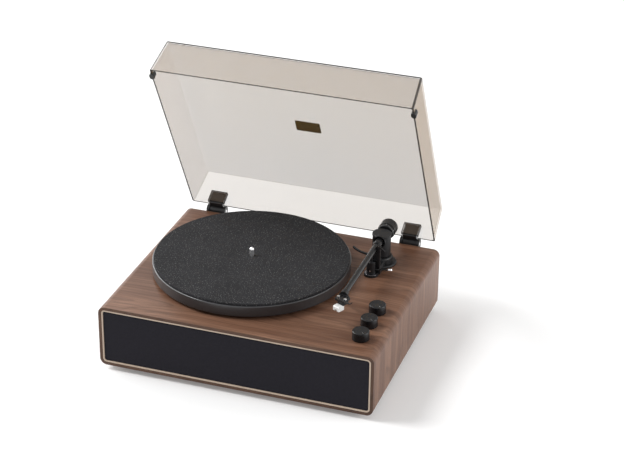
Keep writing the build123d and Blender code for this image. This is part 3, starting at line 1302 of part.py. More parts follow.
def arm_sleeve():
    """Boss on the pivot line that the tube and the rear stub are fixed in, necked to the tube."""
    front = PIVOT_Y - SLEEVE_FRONT
    taper = 5.0
    sleeve = rod(SLEEVE_RADIUS, (PIVOT_X, PIVOT_Y + SLEEVE_REAR, TUBE_Z), (PIVOT_X, front + taper, TUBE_Z))
    base = Plane(origin=(PIVOT_X, front + taper, TUBE_Z), z_dir=(0, -1, 0))
    tip = Plane(origin=(PIVOT_X, front, TUBE_Z), z_dir=(0, -1, 0))
    sleeve += loft([base * Circle(SLEEVE_RADIUS), tip * Circle(TUBE_RADIUS + 0.8)], ruled=True)
    sleeve -= rod(TUBE_RADIUS, (PIVOT_X, front, TUBE_Z), (PIVOT_X, PIVOT_Y - 10.0, TUBE_Z))
    sleeve -= rod(STUB_RADIUS, (PIVOT_X, PIVOT_Y + 6.0, TUBE_Z), (PIVOT_X, PIVOT_Y + SLEEVE_REAR, TUBE_Z))
    for side in (-1, 1):
        start = (PIVOT_X + side * (SLEEVE_RADIUS - 2.0 - SHAFT_CLEARANCE), PIVOT_Y, TUBE_Z)
        end = (PIVOT_X + side * SLEEVE_RADIUS, PIVOT_Y, TUBE_Z)
        sleeve -= rod(PIVOT_POINT_RADIUS + SHAFT_CLEARANCE, start, end)
    return sleeve


def arm_tube():
    """Straight thin tube from the sleeve to the headshell."""
    start = (PIVOT_X, PIVOT_Y - 10.0, TUBE_Z)
    end = (PIVOT_X, ARM_TIP_Y, TUBE_Z)
    return rod(TUBE_RADIUS, start, end) - rod(TUBE_RADIUS - 0.8, start, end)


def headshell():
    """Flat shell out to the right of the tube, with three slots and a plug for the tube."""
    half = HEADSHELL_WIDTH / 2
    plug = TUBE_RADIUS + HEADSHELL_PLUG_WALL
    top = HEAD_ORIGIN_Z
    face = make_face(
        Polyline(
            (-HEAD_SIDE_SHIFT - plug, 3.0),
            (-HEAD_SIDE_SHIFT - plug, -3.0),
            (-half, -6.0),
            (-half, -HEADSHELL_LENGTH + 2.0),
            (-half + 2.0, -HEADSHELL_LENGTH),
            (half - 2.0, -HEADSHELL_LENGTH),
            (half, -HEADSHELL_LENGTH + 2.0),
            (half, -3.0),
            (-HEAD_SIDE_SHIFT + plug, 3.0),
            close=True,
        )
    )
    for step in (-1, 0, 1):
        face -= Pos(step * 4.6, -5.2) * SlotOverall(5.0, 1.6, rotation=90)
    screw_line = HEAD_SCREW_SETBACK - HEADSHELL_LENGTH
    for side in (-1, 1):
        face -= Pos(side * HEAD_SCREW_SPACING / 2, screw_line) * Circle(HEAD_SCREW_RADIUS)
    plate = extrude(Pos(0, 0, top - HEADSHELL_THICKNESS) * face, HEADSHELL_THICKNESS)
    rails = Part()
    for side in (-1, 1):
        rails += block(
            side * half - 0.9 * (side > 0),
            side * half + 0.9 * (side < 0),
            screw_line + 3.0,
            -4.0,
            top,
            top + 1.2,
        )
    tube_room = rod(TUBE_RADIUS, (PIVOT_X, ARM_TIP_Y, TUBE_Z), (PIVOT_X, ARM_TIP_Y + 7.0, TUBE_Z))
    head = in_head(plate + rails) - tube_room
    collar_end = ARM_TIP_Y - 1.0
    collar = rod(TUBE_RADIUS + 1.2, (PIVOT_X, ARM_TIP_Y + 7.0, TUBE_Z), (PIVOT_X, collar_end, TUBE_Z))
    return head + (collar - tube_room)


def finger_lift():
    """Thin blade laid across the headshell's front edge, out to the right with a curled end."""
    top = HEAD_ORIGIN_Z
    y_front = -HEADSHELL_LENGTH
    flat = block(-HEADSHELL_WIDTH / 2 + 1.5, FINGER_REACH - 5.0, y_front, y_front + 2.6, top, top + 0.8)
    curl = make_face(
        Polyline(
            (FINGER_REACH - 5.0, y_front, top),
            (FINGER_REACH - 5.0, y_front, top + 0.8),
            (FINGER_REACH - 1.5, y_front, top + 2.2),
            (FINGER_REACH, y_front, top + 4.4),
            (FINGER_REACH + 0.8, y_front, top + 4.0),
            (FINGER_REACH - 0.9, y_front, top + 1.5),
            close=True,
        )
    )
    blade = flat + extrude(curl, 2.6, dir=(0, 1, 0))
    return in_head(blade)


def cartridge():
    """Cartridge body under the headshell, stepped in at the front over the stylus block."""
    top = HEAD_ORIGIN_Z - HEADSHELL_THICKNESS
    screw_line = -HEADSHELL_LENGTH + HEAD_SCREW_SETBACK
    front = screw_line - 3.5
    flange = block(-CARTRIDGE_WIDTH / 2 - 1.0, CARTRIDGE_WIDTH / 2 + 1.0, front, front + 8.0, top - 1.6, top)
    half = CARTRIDGE_WIDTH / 2 - 2.0
    body = block(-half, half, front, front + CARTRIDGE_LENGTH, top - CARTRIDGE_HEIGHT, top)
    body = fillet(body.edges().filter_by(Axis.Z), 1.2)
    whole = flange + body
    for side in (-1, 1):
        whole -= disc(HEAD_SCREW_RADIUS, side * HEAD_SCREW_SPACING / 2, screw_line, top - 1.6, top)
    return in_head(whole)


def stylus_block():
    """Pale stylus holder that plugs under the cartridge and stands forward of it, with a sloped nose."""
    top = HEAD_ORIGIN_Z - HEADSHELL_THICKNESS - CARTRIDGE_HEIGHT
    screw_line = -HEADSHELL_LENGTH + HEAD_SCREW_SETBACK
    front = screw_line - STYLUS_BLOCK_REACH
    bottom = top - STYLUS_BLOCK_HEIGHT
    x_low = -STYLUS_BLOCK_WIDTH / 2
    lower = block(x_low, -x_low, front, front + STYLUS_BLOCK_LENGTH, bottom, top)
    nose = block(x_low, -x_low, front, screw_line - 4.0, top, top + STYLUS_NOSE_RISE)
    whole = chamfer((lower + nose).edges().filter_by(Axis.X).group_by(Axis.Y)[0], 1.2)
    whole -= block(-2.2, 2.2, front - 0.1, front + 6.0, bottom, bottom + 3.4)
    return in_head(whole) - cantilever()


def stylus_point(distance, rise):
    """Point in the middle of the headshell, behind the stylus block's nose and above its underside."""
    front = HEAD_SCREW_SETBACK - HEADSHELL_LENGTH - STYLUS_BLOCK_REACH
    bottom = HEAD_ORIGIN_Z - HEADSHELL_THICKNESS - CARTRIDGE_HEIGHT - STYLUS_BLOCK_HEIGHT
    return (0, front + distance, bottom + rise)


def cantilever():
    return in_head(rod(0.5, stylus_point(8.0, 2.3), stylus_point(1.6, 0.6)))


def stylus():
    """Cantilever slanting down out of the stylus block, with the tip below its end."""
    return cantilever() + in_head(rod(0.4, stylus_point(1.6, 0.6), stylus_point(1.6, -STYLUS_BELOW)))


def head_screw(side):
    """Cartridge screw with a cylindrical head on the headshell."""
    screw_line = -HEADSHELL_LENGTH + HEAD_SCREW_SETBACK
    x = side * HEAD_SCREW_SPACING / 2
    shank_bottom = HEAD_ORIGIN_Z - HEADSHELL_THICKNESS - 1.6
    screw = disc(HEAD_SCREW_RADIUS, x, screw_line, shank_bottom, HEAD_ORIGIN_Z)
    screw += disc(HEAD_SCREW_RADIUS + 1.0, x, screw_line, HEAD_ORIGIN_Z, HEAD_ORIGIN_Z + 1.8)
    return in_head(screw)


def arm_stub():
    """Threaded stub behind the sleeve that carries the weight."""
    return rod(STUB_RADIUS, (PIVOT_X, PIVOT_Y + 6.0, TUBE_Z), (PIVOT_X, PIVOT_Y + STUB_LENGTH, TUBE_Z))


def along_arm(points):
    """Solid turned about the arm's line from (radius, distance behind the pivot) points."""
    plane = Plane(origin=(PIVOT_X, PIVOT_Y, TUBE_Z), x_dir=(1, 0, 0), z_dir=(0, 0, 1))
    outline = make_face(plane * Polyline(*points, close=True))
    return revolve(outline, Axis((PIVOT_X, PIVOT_Y, TUBE_Z), (0, 1, 0)))


def force_dial():
    """Stylus-force ring in front of the weight, with a bevelled face for its figures."""
    bore = STUB_RADIUS + SHAFT_CLEARANCE
    start = DIAL_FRONT
    end = DIAL_FRONT + DIAL_LENGTH
    rim = [(DIAL_RADIUS - 1.2, start), (DIAL_RADIUS, start + 1.0), (DIAL_RADIUS, end)]
    return along_arm([(bore, start), *rim, (bore, end)])


def counterweight():
    """Turned weight with a scalloped grip and a rounded rear edge."""
    bore = STUB_RADIUS + SHAFT_CLEARANCE
    start = DIAL_FRONT + DIAL_LENGTH + WEIGHT_GAP
    end = start + WEIGHT_LENGTH
    weight = along_arm(
        [
            (bore, start),
            (WEIGHT_RADIUS - 0.4, start),
            (WEIGHT_RADIUS, start + 0.4),
            (WEIGHT_RADIUS, end - 1.4),
            (WEIGHT_RADIUS - 0.4, end - 0.4),
            (WEIGHT_RADIUS - 1.4, end),
            (bore, end),
        ]
    )
    flute_start = PIVOT_Y + start + 3.0
    flute_end = PIVOT_Y + end - 3.0
    for index in range(WEIGHT_GRIPS):
        angle = 2 * pi * index / WEIGHT_GRIPS
        x = PIVOT_X + (WEIGHT_RADIUS + 0.25) * cos(angle)
        z = TUBE_Z + (WEIGHT_RADIUS + 0.25) * sin(angle)
        flute = Box(1.3, flute_end - flute_start, 0.8)
        weight -= Pos(x, (flute_start + flute_end) / 2, z) * Rot(0, -degrees(angle), 0) * flute
    return weight


# Circuit board
def circuit_board():
    """Amplifier board on four pillars, with its sockets and two capacitors."""
    board = block(
        BOARD_X - BOARD_WIDTH / 2,
        BOARD_X + BOARD_WIDTH / 2,
        BOARD_Y - BOARD_DEPTH / 2,
        BOARD_Y + BOARD_DEPTH / 2,
        BOARD_Z,
        BOARD_Z + BOARD_THICKNESS,
    )
    for x, y in STANDOFF_PLACES:
        board -= disc(WOOD_SCREW_RADIUS, x, y, BOARD_Z, BOARD_Z + BOARD_THICKNESS)
    top = BOARD_Z + BOARD_THICKNESS
    for step in (-0.5, 0.5):
        x = BOARD_X + step * CAPACITOR_PITCH
        board += disc(CAPACITOR_RADIUS, x, BOARD_Y - PART_ROW_OFFSET, top, top + CAPACITOR_HEIGHT)
    for step in (-1, 0, 1):
        x = BOARD_X + step * CONNECTOR_PITCH
        half = CONNECTOR_WIDTH / 2
        y = BOARD_Y + PART_ROW_OFFSET
        board += block(x - half, x + half, y, y + CONNECTOR_DEPTH, top, top + CONNECTOR_HEIGHT)
    return board


def heat_sink():
    """Finned block on the circuit board."""
    bottom = BOARD_Z + BOARD_THICKNESS
    x = BOARD_X + SINK_OFFSET
    y = BOARD_Y - SINK_FRONT
    half = SINK_WIDTH / 2
    sink = block(x - half, x + half, y, y + SINK_LENGTH, bottom, bottom + SINK_BASE)
    for index in range(SINK_FIN_COUNT):
        fin_x = x + (index - (SINK_FIN_COUNT - 1) / 2) * SINK_FIN_PITCH
        half_fin = SINK_FIN_THICKNESS / 2
        fin_top = bottom + SINK_HEIGHT
        sink += block(fin_x - half_fin, fin_x + half_fin, y, y + SINK_LENGTH, bottom + SINK_BASE, fin_top)
    return sink


def standoff(x, y):
    pillar = disc(STANDOFF_RADIUS, x, y, FLOOR_TOP, BOARD_Z)
    top = BOARD_Z + BOARD_THICKNESS
    pillar += disc(WOOD_SCREW_RADIUS, x, y, FLOOR_TOP - STANDOFF_SCREW_DEPTH, top)
    return pillar + disc(WOOD_SCREW_HEAD_RADIUS, x, y, top, top + WOOD_SCREW_HEAD_HEIGHT)


def group(solids):
    """Separate solids that share one node."""
    return Part() + list(solids)


def speakers(piece):
    """The same piece of both speakers."""
    return group(piece(x) for x in SPEAKER_XS)


# The open cover reaches behind the cabinet, so the whole player's middle is behind the cabinet's
cover = dust_cover()
ORIGIN_Y = (FRONT_Y + cover.bounding_box().max.Y) / 2

# Cabinet, feet and front
save(cabinet_shell(), "cabinet_shell")
save(group(foot(x, y) for x, y in FOOT_PLACES), "feet")
save(trim_frame(), "trim_frame")
save(grille_frame(), "grille_frame")
save(grille_cloth(), "grille_cloth")
save(front_baffle(), "front_baffle")
save(speakers(speaker_frame), "speaker_frames")
save(speakers(speaker_magnet), "speaker_magnets")
save(speakers(speaker_cone), "speaker_cones")

# Screws hidden inside or underneath, and the dark ones at the rear
inner_screws = [foot_screw(x, y) for x, y in FOOT_PLACES]
inner_screws += [bearing_screw(x, y) for x, y in BEARING_SCREW_PLACES]
inner_screws += [wood_screw(x, y, MOTOR_TOP, (0, 0, 1), MOTOR_SCREW_LENGTH) for x, y in MOTOR_MOUNT_PLACES]
for x, z in SPEAKER_SCREW_PLACES:
    inner_screws.append(wood_screw(x, BAFFLE_REAR_Y + SPEAKER_FLANGE, z, (0, -1, 0), SPEAKER_SCREW_LENGTH))
save(group(inner_screws), "inner_screws")
rear_screws = [wood_screw(x, REAR_Y, z, (0, -1, 0), REAR_SCREW_LENGTH) for x, z in REAR_SCREW_PLACES]
for x in JACK_SCREW_XS:
    rear_screws.append(wood_screw(x, JACK_PLATE_REAR_Y, MIDDLE_Z, (0, -1, 0), JACK_SCREW_LENGTH))
for x, z in HINGE_SCREW_PLACES:
    rear_screws.append(wood_screw(x, HINGE_PLATE_REAR_Y, z, (0, -1, 0), HINGE_SCREW_LENGTH))
save(group(rear_screws), "rear_screws")

# Rear
save(rear_panel(), "rear_panel")
save(rear_battens(), "rear_battens")
save(jack_plate(), "jack_plate")
save(group(rca_jack(x) for x in RCA_PLACES), "rca_jacks")
save(group([jack(AUX_X, AUX_RADIUS, AUX_BORE, 0.6, 12.0), dc_inlet()]), "small_sockets")

# Platter and drive
save(platter(), "platter")
save(platter_mat(), "platter_mat")
save(platter_hub(), "platter_hub")
save(spindle(), "spindle")
save(main_bearing(), "main_bearing")
save(motor(), "motor")
save(motor_plate(), "motor_plate")
save(group(motor_grommet(x, y) for x, y in MOTOR_MOUNT_PLACES), "motor_grommets")
save(group([motor_pulley(), motor_shaft()]), "motor_pulley")
save(drive_belt(), "drive_belt")

# Controls
for name, y in zip(("speed", "source", "volume"), KNOB_PLACES):
    save(group([knob(y), control_shaft(y)]), f"{name}_knob")
save(group(control_body(y) for y in KNOB_PLACES), "rotary_controls")
nuts = [
    hex_nut(CONTROL_NUT_ACROSS, CONTROL_BUSH_RADIUS, KNOB_X, y, DECK, CONTROL_NUT_HEIGHT) for y in KNOB_PLACES
]
stem_nut_bottom = CEILING - STEM_NUT_HEIGHT
nuts.append(hex_nut(STEM_NUT_ACROSS, STEM_RADIUS, PIVOT_X, PIVOT_Y, stem_nut_bottom, STEM_NUT_HEIGHT))
save(group(nuts), "panel_nuts")

# Dust cover
save(cover, "dust_cover")
save(cover_badge(), "cover_badge")
save(group(cover_bumper(side) for side in (-1, 1)), "cover_bumpers")
save(group(hinge_arm(side) for side in (-1, 1)), "hinge_arms")
save(group(hinge_bracket(side) for side in (-1, 1)), "hinge_brackets")
latch_pin = along_latch(LATCH_PIN_RADIUS, REST_LENGTH / 2)
save(group([hinge_pin(-1), hinge_pin(1), lever_pin(), latch_pin]), "fixed_pins")

# Tonearm
save(arm_base(), "arm_base")
save(lift_ring(), "lift_ring")
save(group([lift_piston(), lift_bar()]), "lift_bar")
save(cue_lever(), "cue_lever")
save(lever_tip(), "cue_lever_tip")
save(rest_latch(), "rest_latch")
save(arm_housing(), "arm_housing")
save(yaw_pin(), "arm_yaw_pin")
save(group(pivot_screw(side) for side in (-1, 1)), "arm_pivot_screws")
save(arm_sleeve(), "arm_sleeve")
save(arm_tube(), "arm_tube")
save(headshell(), "headshell")
save(finger_lift(), "finger_lift")
save(group(head_screw(side) for side in (-1, 1)), "headshell_screws")
save(cartridge(), "cartridge")
save(stylus_block(), "stylus_block")
save(stylus(), "stylus")
save(arm_stub(), "arm_stub")
save(force_dial(), "force_dial")
save(counterweight(), "counterweight")

# Circuit board
save(group([circuit_board(), heat_sink()]), "circuit_board")
save(group(standoff(x, y) for x, y in STANDOFF_PLACES), "board_standoffs")
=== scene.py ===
"""Looks of a record player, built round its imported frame. Everything is in metres."""
import json
import math

import bmesh
import bpy
from bpy.props import FloatProperty, FloatVectorProperty, IntProperty, PointerProperty
from mathutils import Matrix, Quaternion, Vector


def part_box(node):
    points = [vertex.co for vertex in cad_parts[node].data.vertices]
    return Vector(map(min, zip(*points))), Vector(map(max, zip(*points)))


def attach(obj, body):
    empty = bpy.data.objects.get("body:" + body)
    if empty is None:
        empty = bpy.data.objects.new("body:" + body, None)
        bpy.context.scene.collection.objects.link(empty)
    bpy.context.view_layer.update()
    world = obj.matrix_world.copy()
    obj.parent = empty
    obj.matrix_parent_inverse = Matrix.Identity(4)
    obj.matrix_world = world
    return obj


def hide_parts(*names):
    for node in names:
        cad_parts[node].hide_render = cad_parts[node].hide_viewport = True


bl_info = {
    "name": "Record player looks",
    "version": (1, 0, 0),
    "blender": (4, 5, 0),
    "location": "3D View > Sidebar > Record player",
    "description": "Dresses a packed record player: veneer, cloth, smoked cover, tonearm and studio",
    "category": "Object",
}

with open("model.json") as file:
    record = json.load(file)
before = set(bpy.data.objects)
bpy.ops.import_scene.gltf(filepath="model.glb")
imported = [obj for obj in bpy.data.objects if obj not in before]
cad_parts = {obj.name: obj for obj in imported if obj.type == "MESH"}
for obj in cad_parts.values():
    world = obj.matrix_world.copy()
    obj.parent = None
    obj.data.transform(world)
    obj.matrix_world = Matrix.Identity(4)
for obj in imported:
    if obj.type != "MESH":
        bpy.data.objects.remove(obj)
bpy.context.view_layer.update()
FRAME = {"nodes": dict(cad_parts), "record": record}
NODES = FRAME["nodes"]

# A face whose unit normal reaches this along an axis looks along it
SQUARE = 0.9

# Places on the closed cover, from its hinge axis: hinge pockets, and limits of the front and rear walls
POCKET_X = 0.16
POCKET_HALF_WIDTH = 0.0145
POCKET_HEIGHT = 0.0225
FRONT_WALL_Y = -0.25
REAR_WALL_Y = -0.1

# How near its rim or its top a point of the cover counts as part of it
RIM_SLACK = 0.0005
RIM_REACH = 0.004
TOP_REACH = 0.006

# How much the cover hides along its dark edges, painted shade for the darker look along the sheet
EDGE_SHADE_ALPHA = 0.82

# Widths of softened edges, from the finest turned pieces up
HAIR_EDGE = 0.0001
SCREW_EDGE = 0.00012
SPINDLE_EDGE = 0.00015
FINE_EDGE = 0.0002
MOULDED_EDGE = 0.0003
PLATTER_EDGE = 0.0004
CLIP_EDGE = 0.0006

# Modifiers and shading of edges
WELD_DISTANCE = 1e-6
BEVEL_SEGMENTS = 2
BEVEL_ANGLE = math.radians(32)
SMOOTH_ANGLE = math.radians(40)

# How far marks, the plate's border and figures stand out, and how deep marks and border reach in
MARK_RISE = 0.00004
BORDER_RISE = 0.00002
FIGURE_RISE = 0.00003
MARK_SINK = 0.0001

# Rings round the phono sockets in the order of X: names and linear colours, and their form
COLLARS = (("white", (0.70, 0.70, 0.69)), ("red", (0.45, 0.015, 0.012)))
COLLAR_GAP = 0.0001
COLLAR_BEVEL = 0.0002
COLLAR_STEPS = 48

# Force ring: marks from one long mark to the next, and the number of figures
TICKS_PER_LONG = 4
FIGURES = 5

# Pointer line of a knob: its ends as shares of the knob's radius, and its angle from the right
POINTER_SHARES = (0.40, 0.83)
POINTER_ANGLE = math.radians(-50)

# Dark cross painted on a screw as the shade of its cross recess: length and width as shares of the head, and
# its rise
CROSS_LENGTH = 0.54
CROSS_WIDTH = 0.12
CROSS_RISE = 0.00006

# Corners of each side of a block, for the four corners of one end and then the four above them
BLOCK_SIDES = ((0, 1, 2, 3), (4, 5, 6, 7), (0, 1, 5, 4), (1, 2, 6, 5), (2, 3, 7, 6), (3, 0, 4, 7))

# Cloth's rolled edge: each ring's inset in crowns, and its rise as a share of the cloth's thickness
CLOTH_RINGS = ((0.0, 0.0), (0.3, 0.35), (1.0, 0.8), (2.2, 0.97), (4.0, 1.0))
CLOTH_LEAST_CORNER = 0.0005
CLOTH_CORNER_STEPS = 6

# Depths of moulded and paper grain
FINE_GRAIN = 0.00002
COARSE_GRAIN = 0.00003
PAPER_GRAIN = 0.00005

# How much of the veneer shows in its dark end band
VENEER_IN_BAND = 0.35

# Linear colour of bare brass
BRASS = (0.60, 0.40, 0.15)

# Area lamps: name, width, height, power in watts, place and aim
LAMPS = (
    ("left_softbox", 1.2, 0.7, 13.0, (-1.5, 0.10, 0.62), (-0.1, -0.03, 0.12)),
    ("rear_window", 1.0, 0.8, 10.0, (-1.95, 2.1, 1.45), (-0.15, 0.0, 0.1)),
    ("right_fill", 1.4, 1.0, 22.0, (2.0, 0.1, 0.8), (0.2, 0.0, 0.06)),
)

# Key light, a wide sun
KEY_PLACE = (-2.2, -0.30, 2.7)
KEY_AIM = (0.0, 0.0, 0.1)
KEY_ANGLE = math.radians(24)

# Half the floor's width, the camera's sensor in millimetres and the farthest place it sees
FLOOR_HALF = 9.0
SENSOR_WIDTH = 36.0
FARTHEST_SEEN = 60.0


# Values a user would change


def length(name, description, default):
    return FloatProperty(
        name=name, description=description, default=default, min=0, unit="LENGTH", precision=5
    )


def colour(name, description, default):
    return FloatVectorProperty(
        name=name, description=description, default=default, size=3, min=0, max=1, subtype="COLOR"
    )


def spot(name, description, default):
    return FloatVectorProperty(name=name, description=description, default=default, subtype="XYZ")


def strength(name, description, default):
    return FloatProperty(name=name, description=description, default=default, min=0)


class PlayerSizes(bpy.types.PropertyGroup):
    """Sizes of the dressed pieces."""

    edge: length("Edge softness", "Width of the softened edges of moulded and turned pieces", 0.00035)
    board_edge: length("Board edge", "Width of the softened edges of the wrapped board", 0.0007)
    band: length("End band", "Depth of the darker band on the board's front end", 0.0006)
    thread: length("Cloth thread", "Distance between two threads of the grille cloth", 0.0009)
    crown: length("Cloth crown", "How far the cloth's edge rolls back round its frame", 0.0005)
    cloth_corner: length("Cloth corner", "Radius of the cloth's corners", 0.0037)
    mat_ring: length("Mat ring", "Distance between two faint rings of the mat", 0.006)
    tick: length("Tick width", "Width of a mark on the force ring", 0.00028)
    tick_length: length("Tick length", "Length of a mark on the force ring", 0.0012)
    long_tick: length("Long tick length", "Length of every fourth mark on the force ring", 0.0019)
    tick_margin: length("Tick margin", "Bare edge in front of the marks on the force ring", 0.0004)
    ticks: IntProperty(name="Ticks", description="Marks round the force ring", default=40, min=4)
    figure: length("Figure height", "Height of the figures on the force ring", 0.0028)
    figure_margin: length("Figure margin", "Bare edge behind the figures on the force ring", 0.0006)
    cover_edge: length("Cover edge line", "Width of the dark line along the cover's front edges", 0.0030)
    pointer: length("Pointer width", "Width of the line on a knob", 0.0007)
    pointer_top: length("Pointer top", "Depth of the line's top under the knob's highest point", 0.0005)
    pointer_foot: length("Pointer foot", "Depth of the line's foot under the knob's highest point", 0.0009)
    border_inset: length("Plate border inset", "Bare edge round the border of the cover's plate", 0.0004)
    border: length("Plate border width", "Width of the border of the cover's plate", 0.0008)
    collar: length("Collar width", "Width of the coloured ring round a phono socket", 0.0018)
    collar_height: length("Collar height", "Height of the coloured ring round a phono socket", 0.0005)


class PlayerColours(bpy.types.PropertyGroup):
    """Colours of the finishes, as linear values."""

    veneer_dark: colour("Veneer, dark grain", "Darkest grain of the walnut veneer", (0.050, 0.022, 0.013))
    veneer_mid: colour("Veneer, ground", "Ground colour of the walnut veneer", (0.142, 0.065, 0.037))
    veneer_light: colour("Veneer, light figure", "Lightest figure of the veneer", (0.255, 0.136, 0.086))
    end_band: colour("End band", "Dark band on the cabinet's front end", (0.070, 0.040, 0.028))
    inlay: colour("Inlay", "Pale frame round the cloth", (0.620, 0.490, 0.380))
    cloth: colour("Cloth", "Blue-black grille cloth", (0.017, 0.016, 0.021))
    platter: colour("Platter", "Dark coat on the platter", (0.030, 0.030, 0.033))
    record_mat: colour("Mat", "Speckled mat on the platter", (0.026, 0.026, 0.028))
    fleck: colour("Mat flecks", "Pale flecks of the mat", (0.190, 0.185, 0.180))
    black: colour("Black", "Black mouldings and painted metal", (0.010, 0.010, 0.011))
    smoke: colour("Smoke", "Tint of the dust cover", (0.330, 0.215, 0.105))
    # The top panel's own tint, set apart from the walls' for the look at its angle, holds painted shade
    smoke_panel: colour("Smoke, top panel", "Tint of the cover's top panel", (0.300, 0.178, 0.040))
    smoke_pocket: colour("Smoke, pockets", "Tint of the cover's hinge pockets", (0.160, 0.120, 0.090))
    # Painted shade: the darker look of the smoked sheet seen along it, laid on its front edges, rim and
    # pocket sides
    smoke_edge: colour("Smoke, edges", "Tint of the cover seen along the sheet", (0.030, 0.026, 0.023))
    board: colour("Board", "Bare fibreboard", (0.170, 0.110, 0.065))


class PlayerStage(bpy.types.PropertyGroup):
    """Camera and light."""

    place: spot("Camera place", "Where the camera stands", (0.854157, -2.373373, 1.4976))
    aim: spot("Camera aim", "Point the camera looks at", (0.001317, 0.142748, 0.1))
    roll: FloatProperty(
        name="Camera roll", description="Tilt of the camera about its line of sight",
        default=math.radians(0.64377), subtype="ANGLE",
    )
    lens: FloatProperty(
        name="Lens", description="Focal length on a 36 mm sensor", default=110.49, unit="CAMERA"
    )
    sky: strength("Sky", "Strength of the even light from all round", 0.42)
    key: strength("Key", "Strength of the main soft light from the upper left", 1.9)
    glow: strength("Floor glow", "Light added to the floor where it is looked at", 0.17)


# Node trees


def wire(tree, source, target):
    """Link a socket, or a node's first output, to a socket."""
    tree.links.new(source.outputs[0] if hasattr(source, "outputs") else source, target)


def fill(tree, target, value):
    """Give an input a value, or link a source to it."""
    if isinstance(value, (int, float)):
        target.default_value = value
    elif isinstance(value, (tuple, list)):
        target.default_value = (*value[:3], 1.0) if target.type == "RGBA" else value
    else:
        wire(tree, value, target)


def node(tree, kind, settings=None, **sockets):
    """Add a node with its settings, and fill its inputs by name, or by number as i0 and i1."""
    made = tree.nodes.new(kind)
    for key, value in (settings or {}).items():
        setattr(made, key, value)
    for key, value in sockets.items():
        numbered = key[0] == "i" and key[1:].isdigit()
        fill(tree, made.inputs[int(key[1:]) if numbered else key.replace("_", " ")], value)
    return made


def maths(tree, operation, a, b=0.0, clamp=False):
    settings = {"operation": operation, "use_clamp": clamp}
    return node(tree, "ShaderNodeMath", settings, i0=a, i1=b).outputs[0]


def blend_colour(tree, mask, a, b):
    """Colour a where the mask is 0, and colour b where it is 1."""
    return node(tree, "ShaderNodeMix", {"data_type": "RGBA"}, i0=mask, i6=a, i7=b).outputs[2]


def remap(tree, value, low, high, to_low=0.0, to_high=1.0):
    """Value moved from one range to another, and held inside it."""
    ends = {"i1": low, "i2": high, "i3": to_low, "i4": to_high}
    return node(tree, "ShaderNodeMapRange", {"clamp": True}, i0=value, **ends).outputs[0]


def vector_maths(tree, operation, a, b):
    return node(tree, "ShaderNodeVectorMath", {"operation": operation}, i0=a, i1=b).outputs[0]


def scaled(tree, colour, factor):
    """A colour times one number."""
    made = node(tree, "ShaderNodeVectorMath", {"operation": "SCALE"}, i0=colour)
    wire(tree, factor, made.inputs["Scale"])
    return made.outputs[0]


def noise(tree, vector, scale, detail=3.0, roughness=0.55):
    look = {"Scale": scale, "Detail": detail, "Roughness": roughness}
    return node(tree, "ShaderNodeTexNoise", Vector=vector, **look).outputs[0]


def grain_layer(tree, vector, along, across, detail, roughness=0.55):
    """Noise drawn out along the first coordinate, with its scales along and across the grain."""
    stretched = vector_maths(tree, "MULTIPLY", vector, (along, across, across))
    return noise(tree, stretched, 1.0, detail, roughness)


def from_upright(tree, at, centre):
    """Place measured from a centre, and its distance from the upright axis through that centre."""
    moved = vector_maths(tree, "SUBTRACT", at, tuple(centre))
    flat = vector_maths(tree, "MULTIPLY", moved, (1.0, 1.0, 0.0))
    return moved, node(tree, "ShaderNodeVectorMath", {"operation": "LENGTH"}, i0=flat).outputs["Value"]


def lathe_marks(tree, at, centre, scale, roughness=0.55):
    """Fine lines left by turning round an upright axis."""
    moved, radius = from_upright(tree, at, centre)
    height = node(tree, "ShaderNodeSeparateXYZ", Vector=moved).outputs[2]
    marks = node(tree, "ShaderNodeCombineXYZ", X=radius, Y=height, Z=0.0)
    return noise(tree, marks.outputs[0], scale=scale, detail=2.0, roughness=roughness)


def group(name, inputs, outputs, build):
    """Shared effect: build it once, with named sockets, and return it."""
    if name in bpy.data.node_groups:
        return bpy.data.node_groups[name]
    tree = bpy.data.node_groups.new(name, "ShaderNodeTree")
    for label, kind in inputs:
        tree.interface.new_socket(name=label, in_out="INPUT", socket_type=kind)
    for label, kind in outputs:
        tree.interface.new_socket(name=label, in_out="OUTPUT", socket_type=kind)
    build(tree, tree.nodes.new("NodeGroupInput").outputs, tree.nodes.new("NodeGroupOutput").inputs)
    return tree


def use_group(tree, shared, **sockets):
    """Add a shared effect, fill its inputs and return its outputs."""
    return node(tree, "ShaderNodeGroup", {"node_tree": shared}, **sockets).outputs


VECTOR, VALUE, COLOUR = "NodeSocketVector", "NodeSocketFloat", "NodeSocketColor"


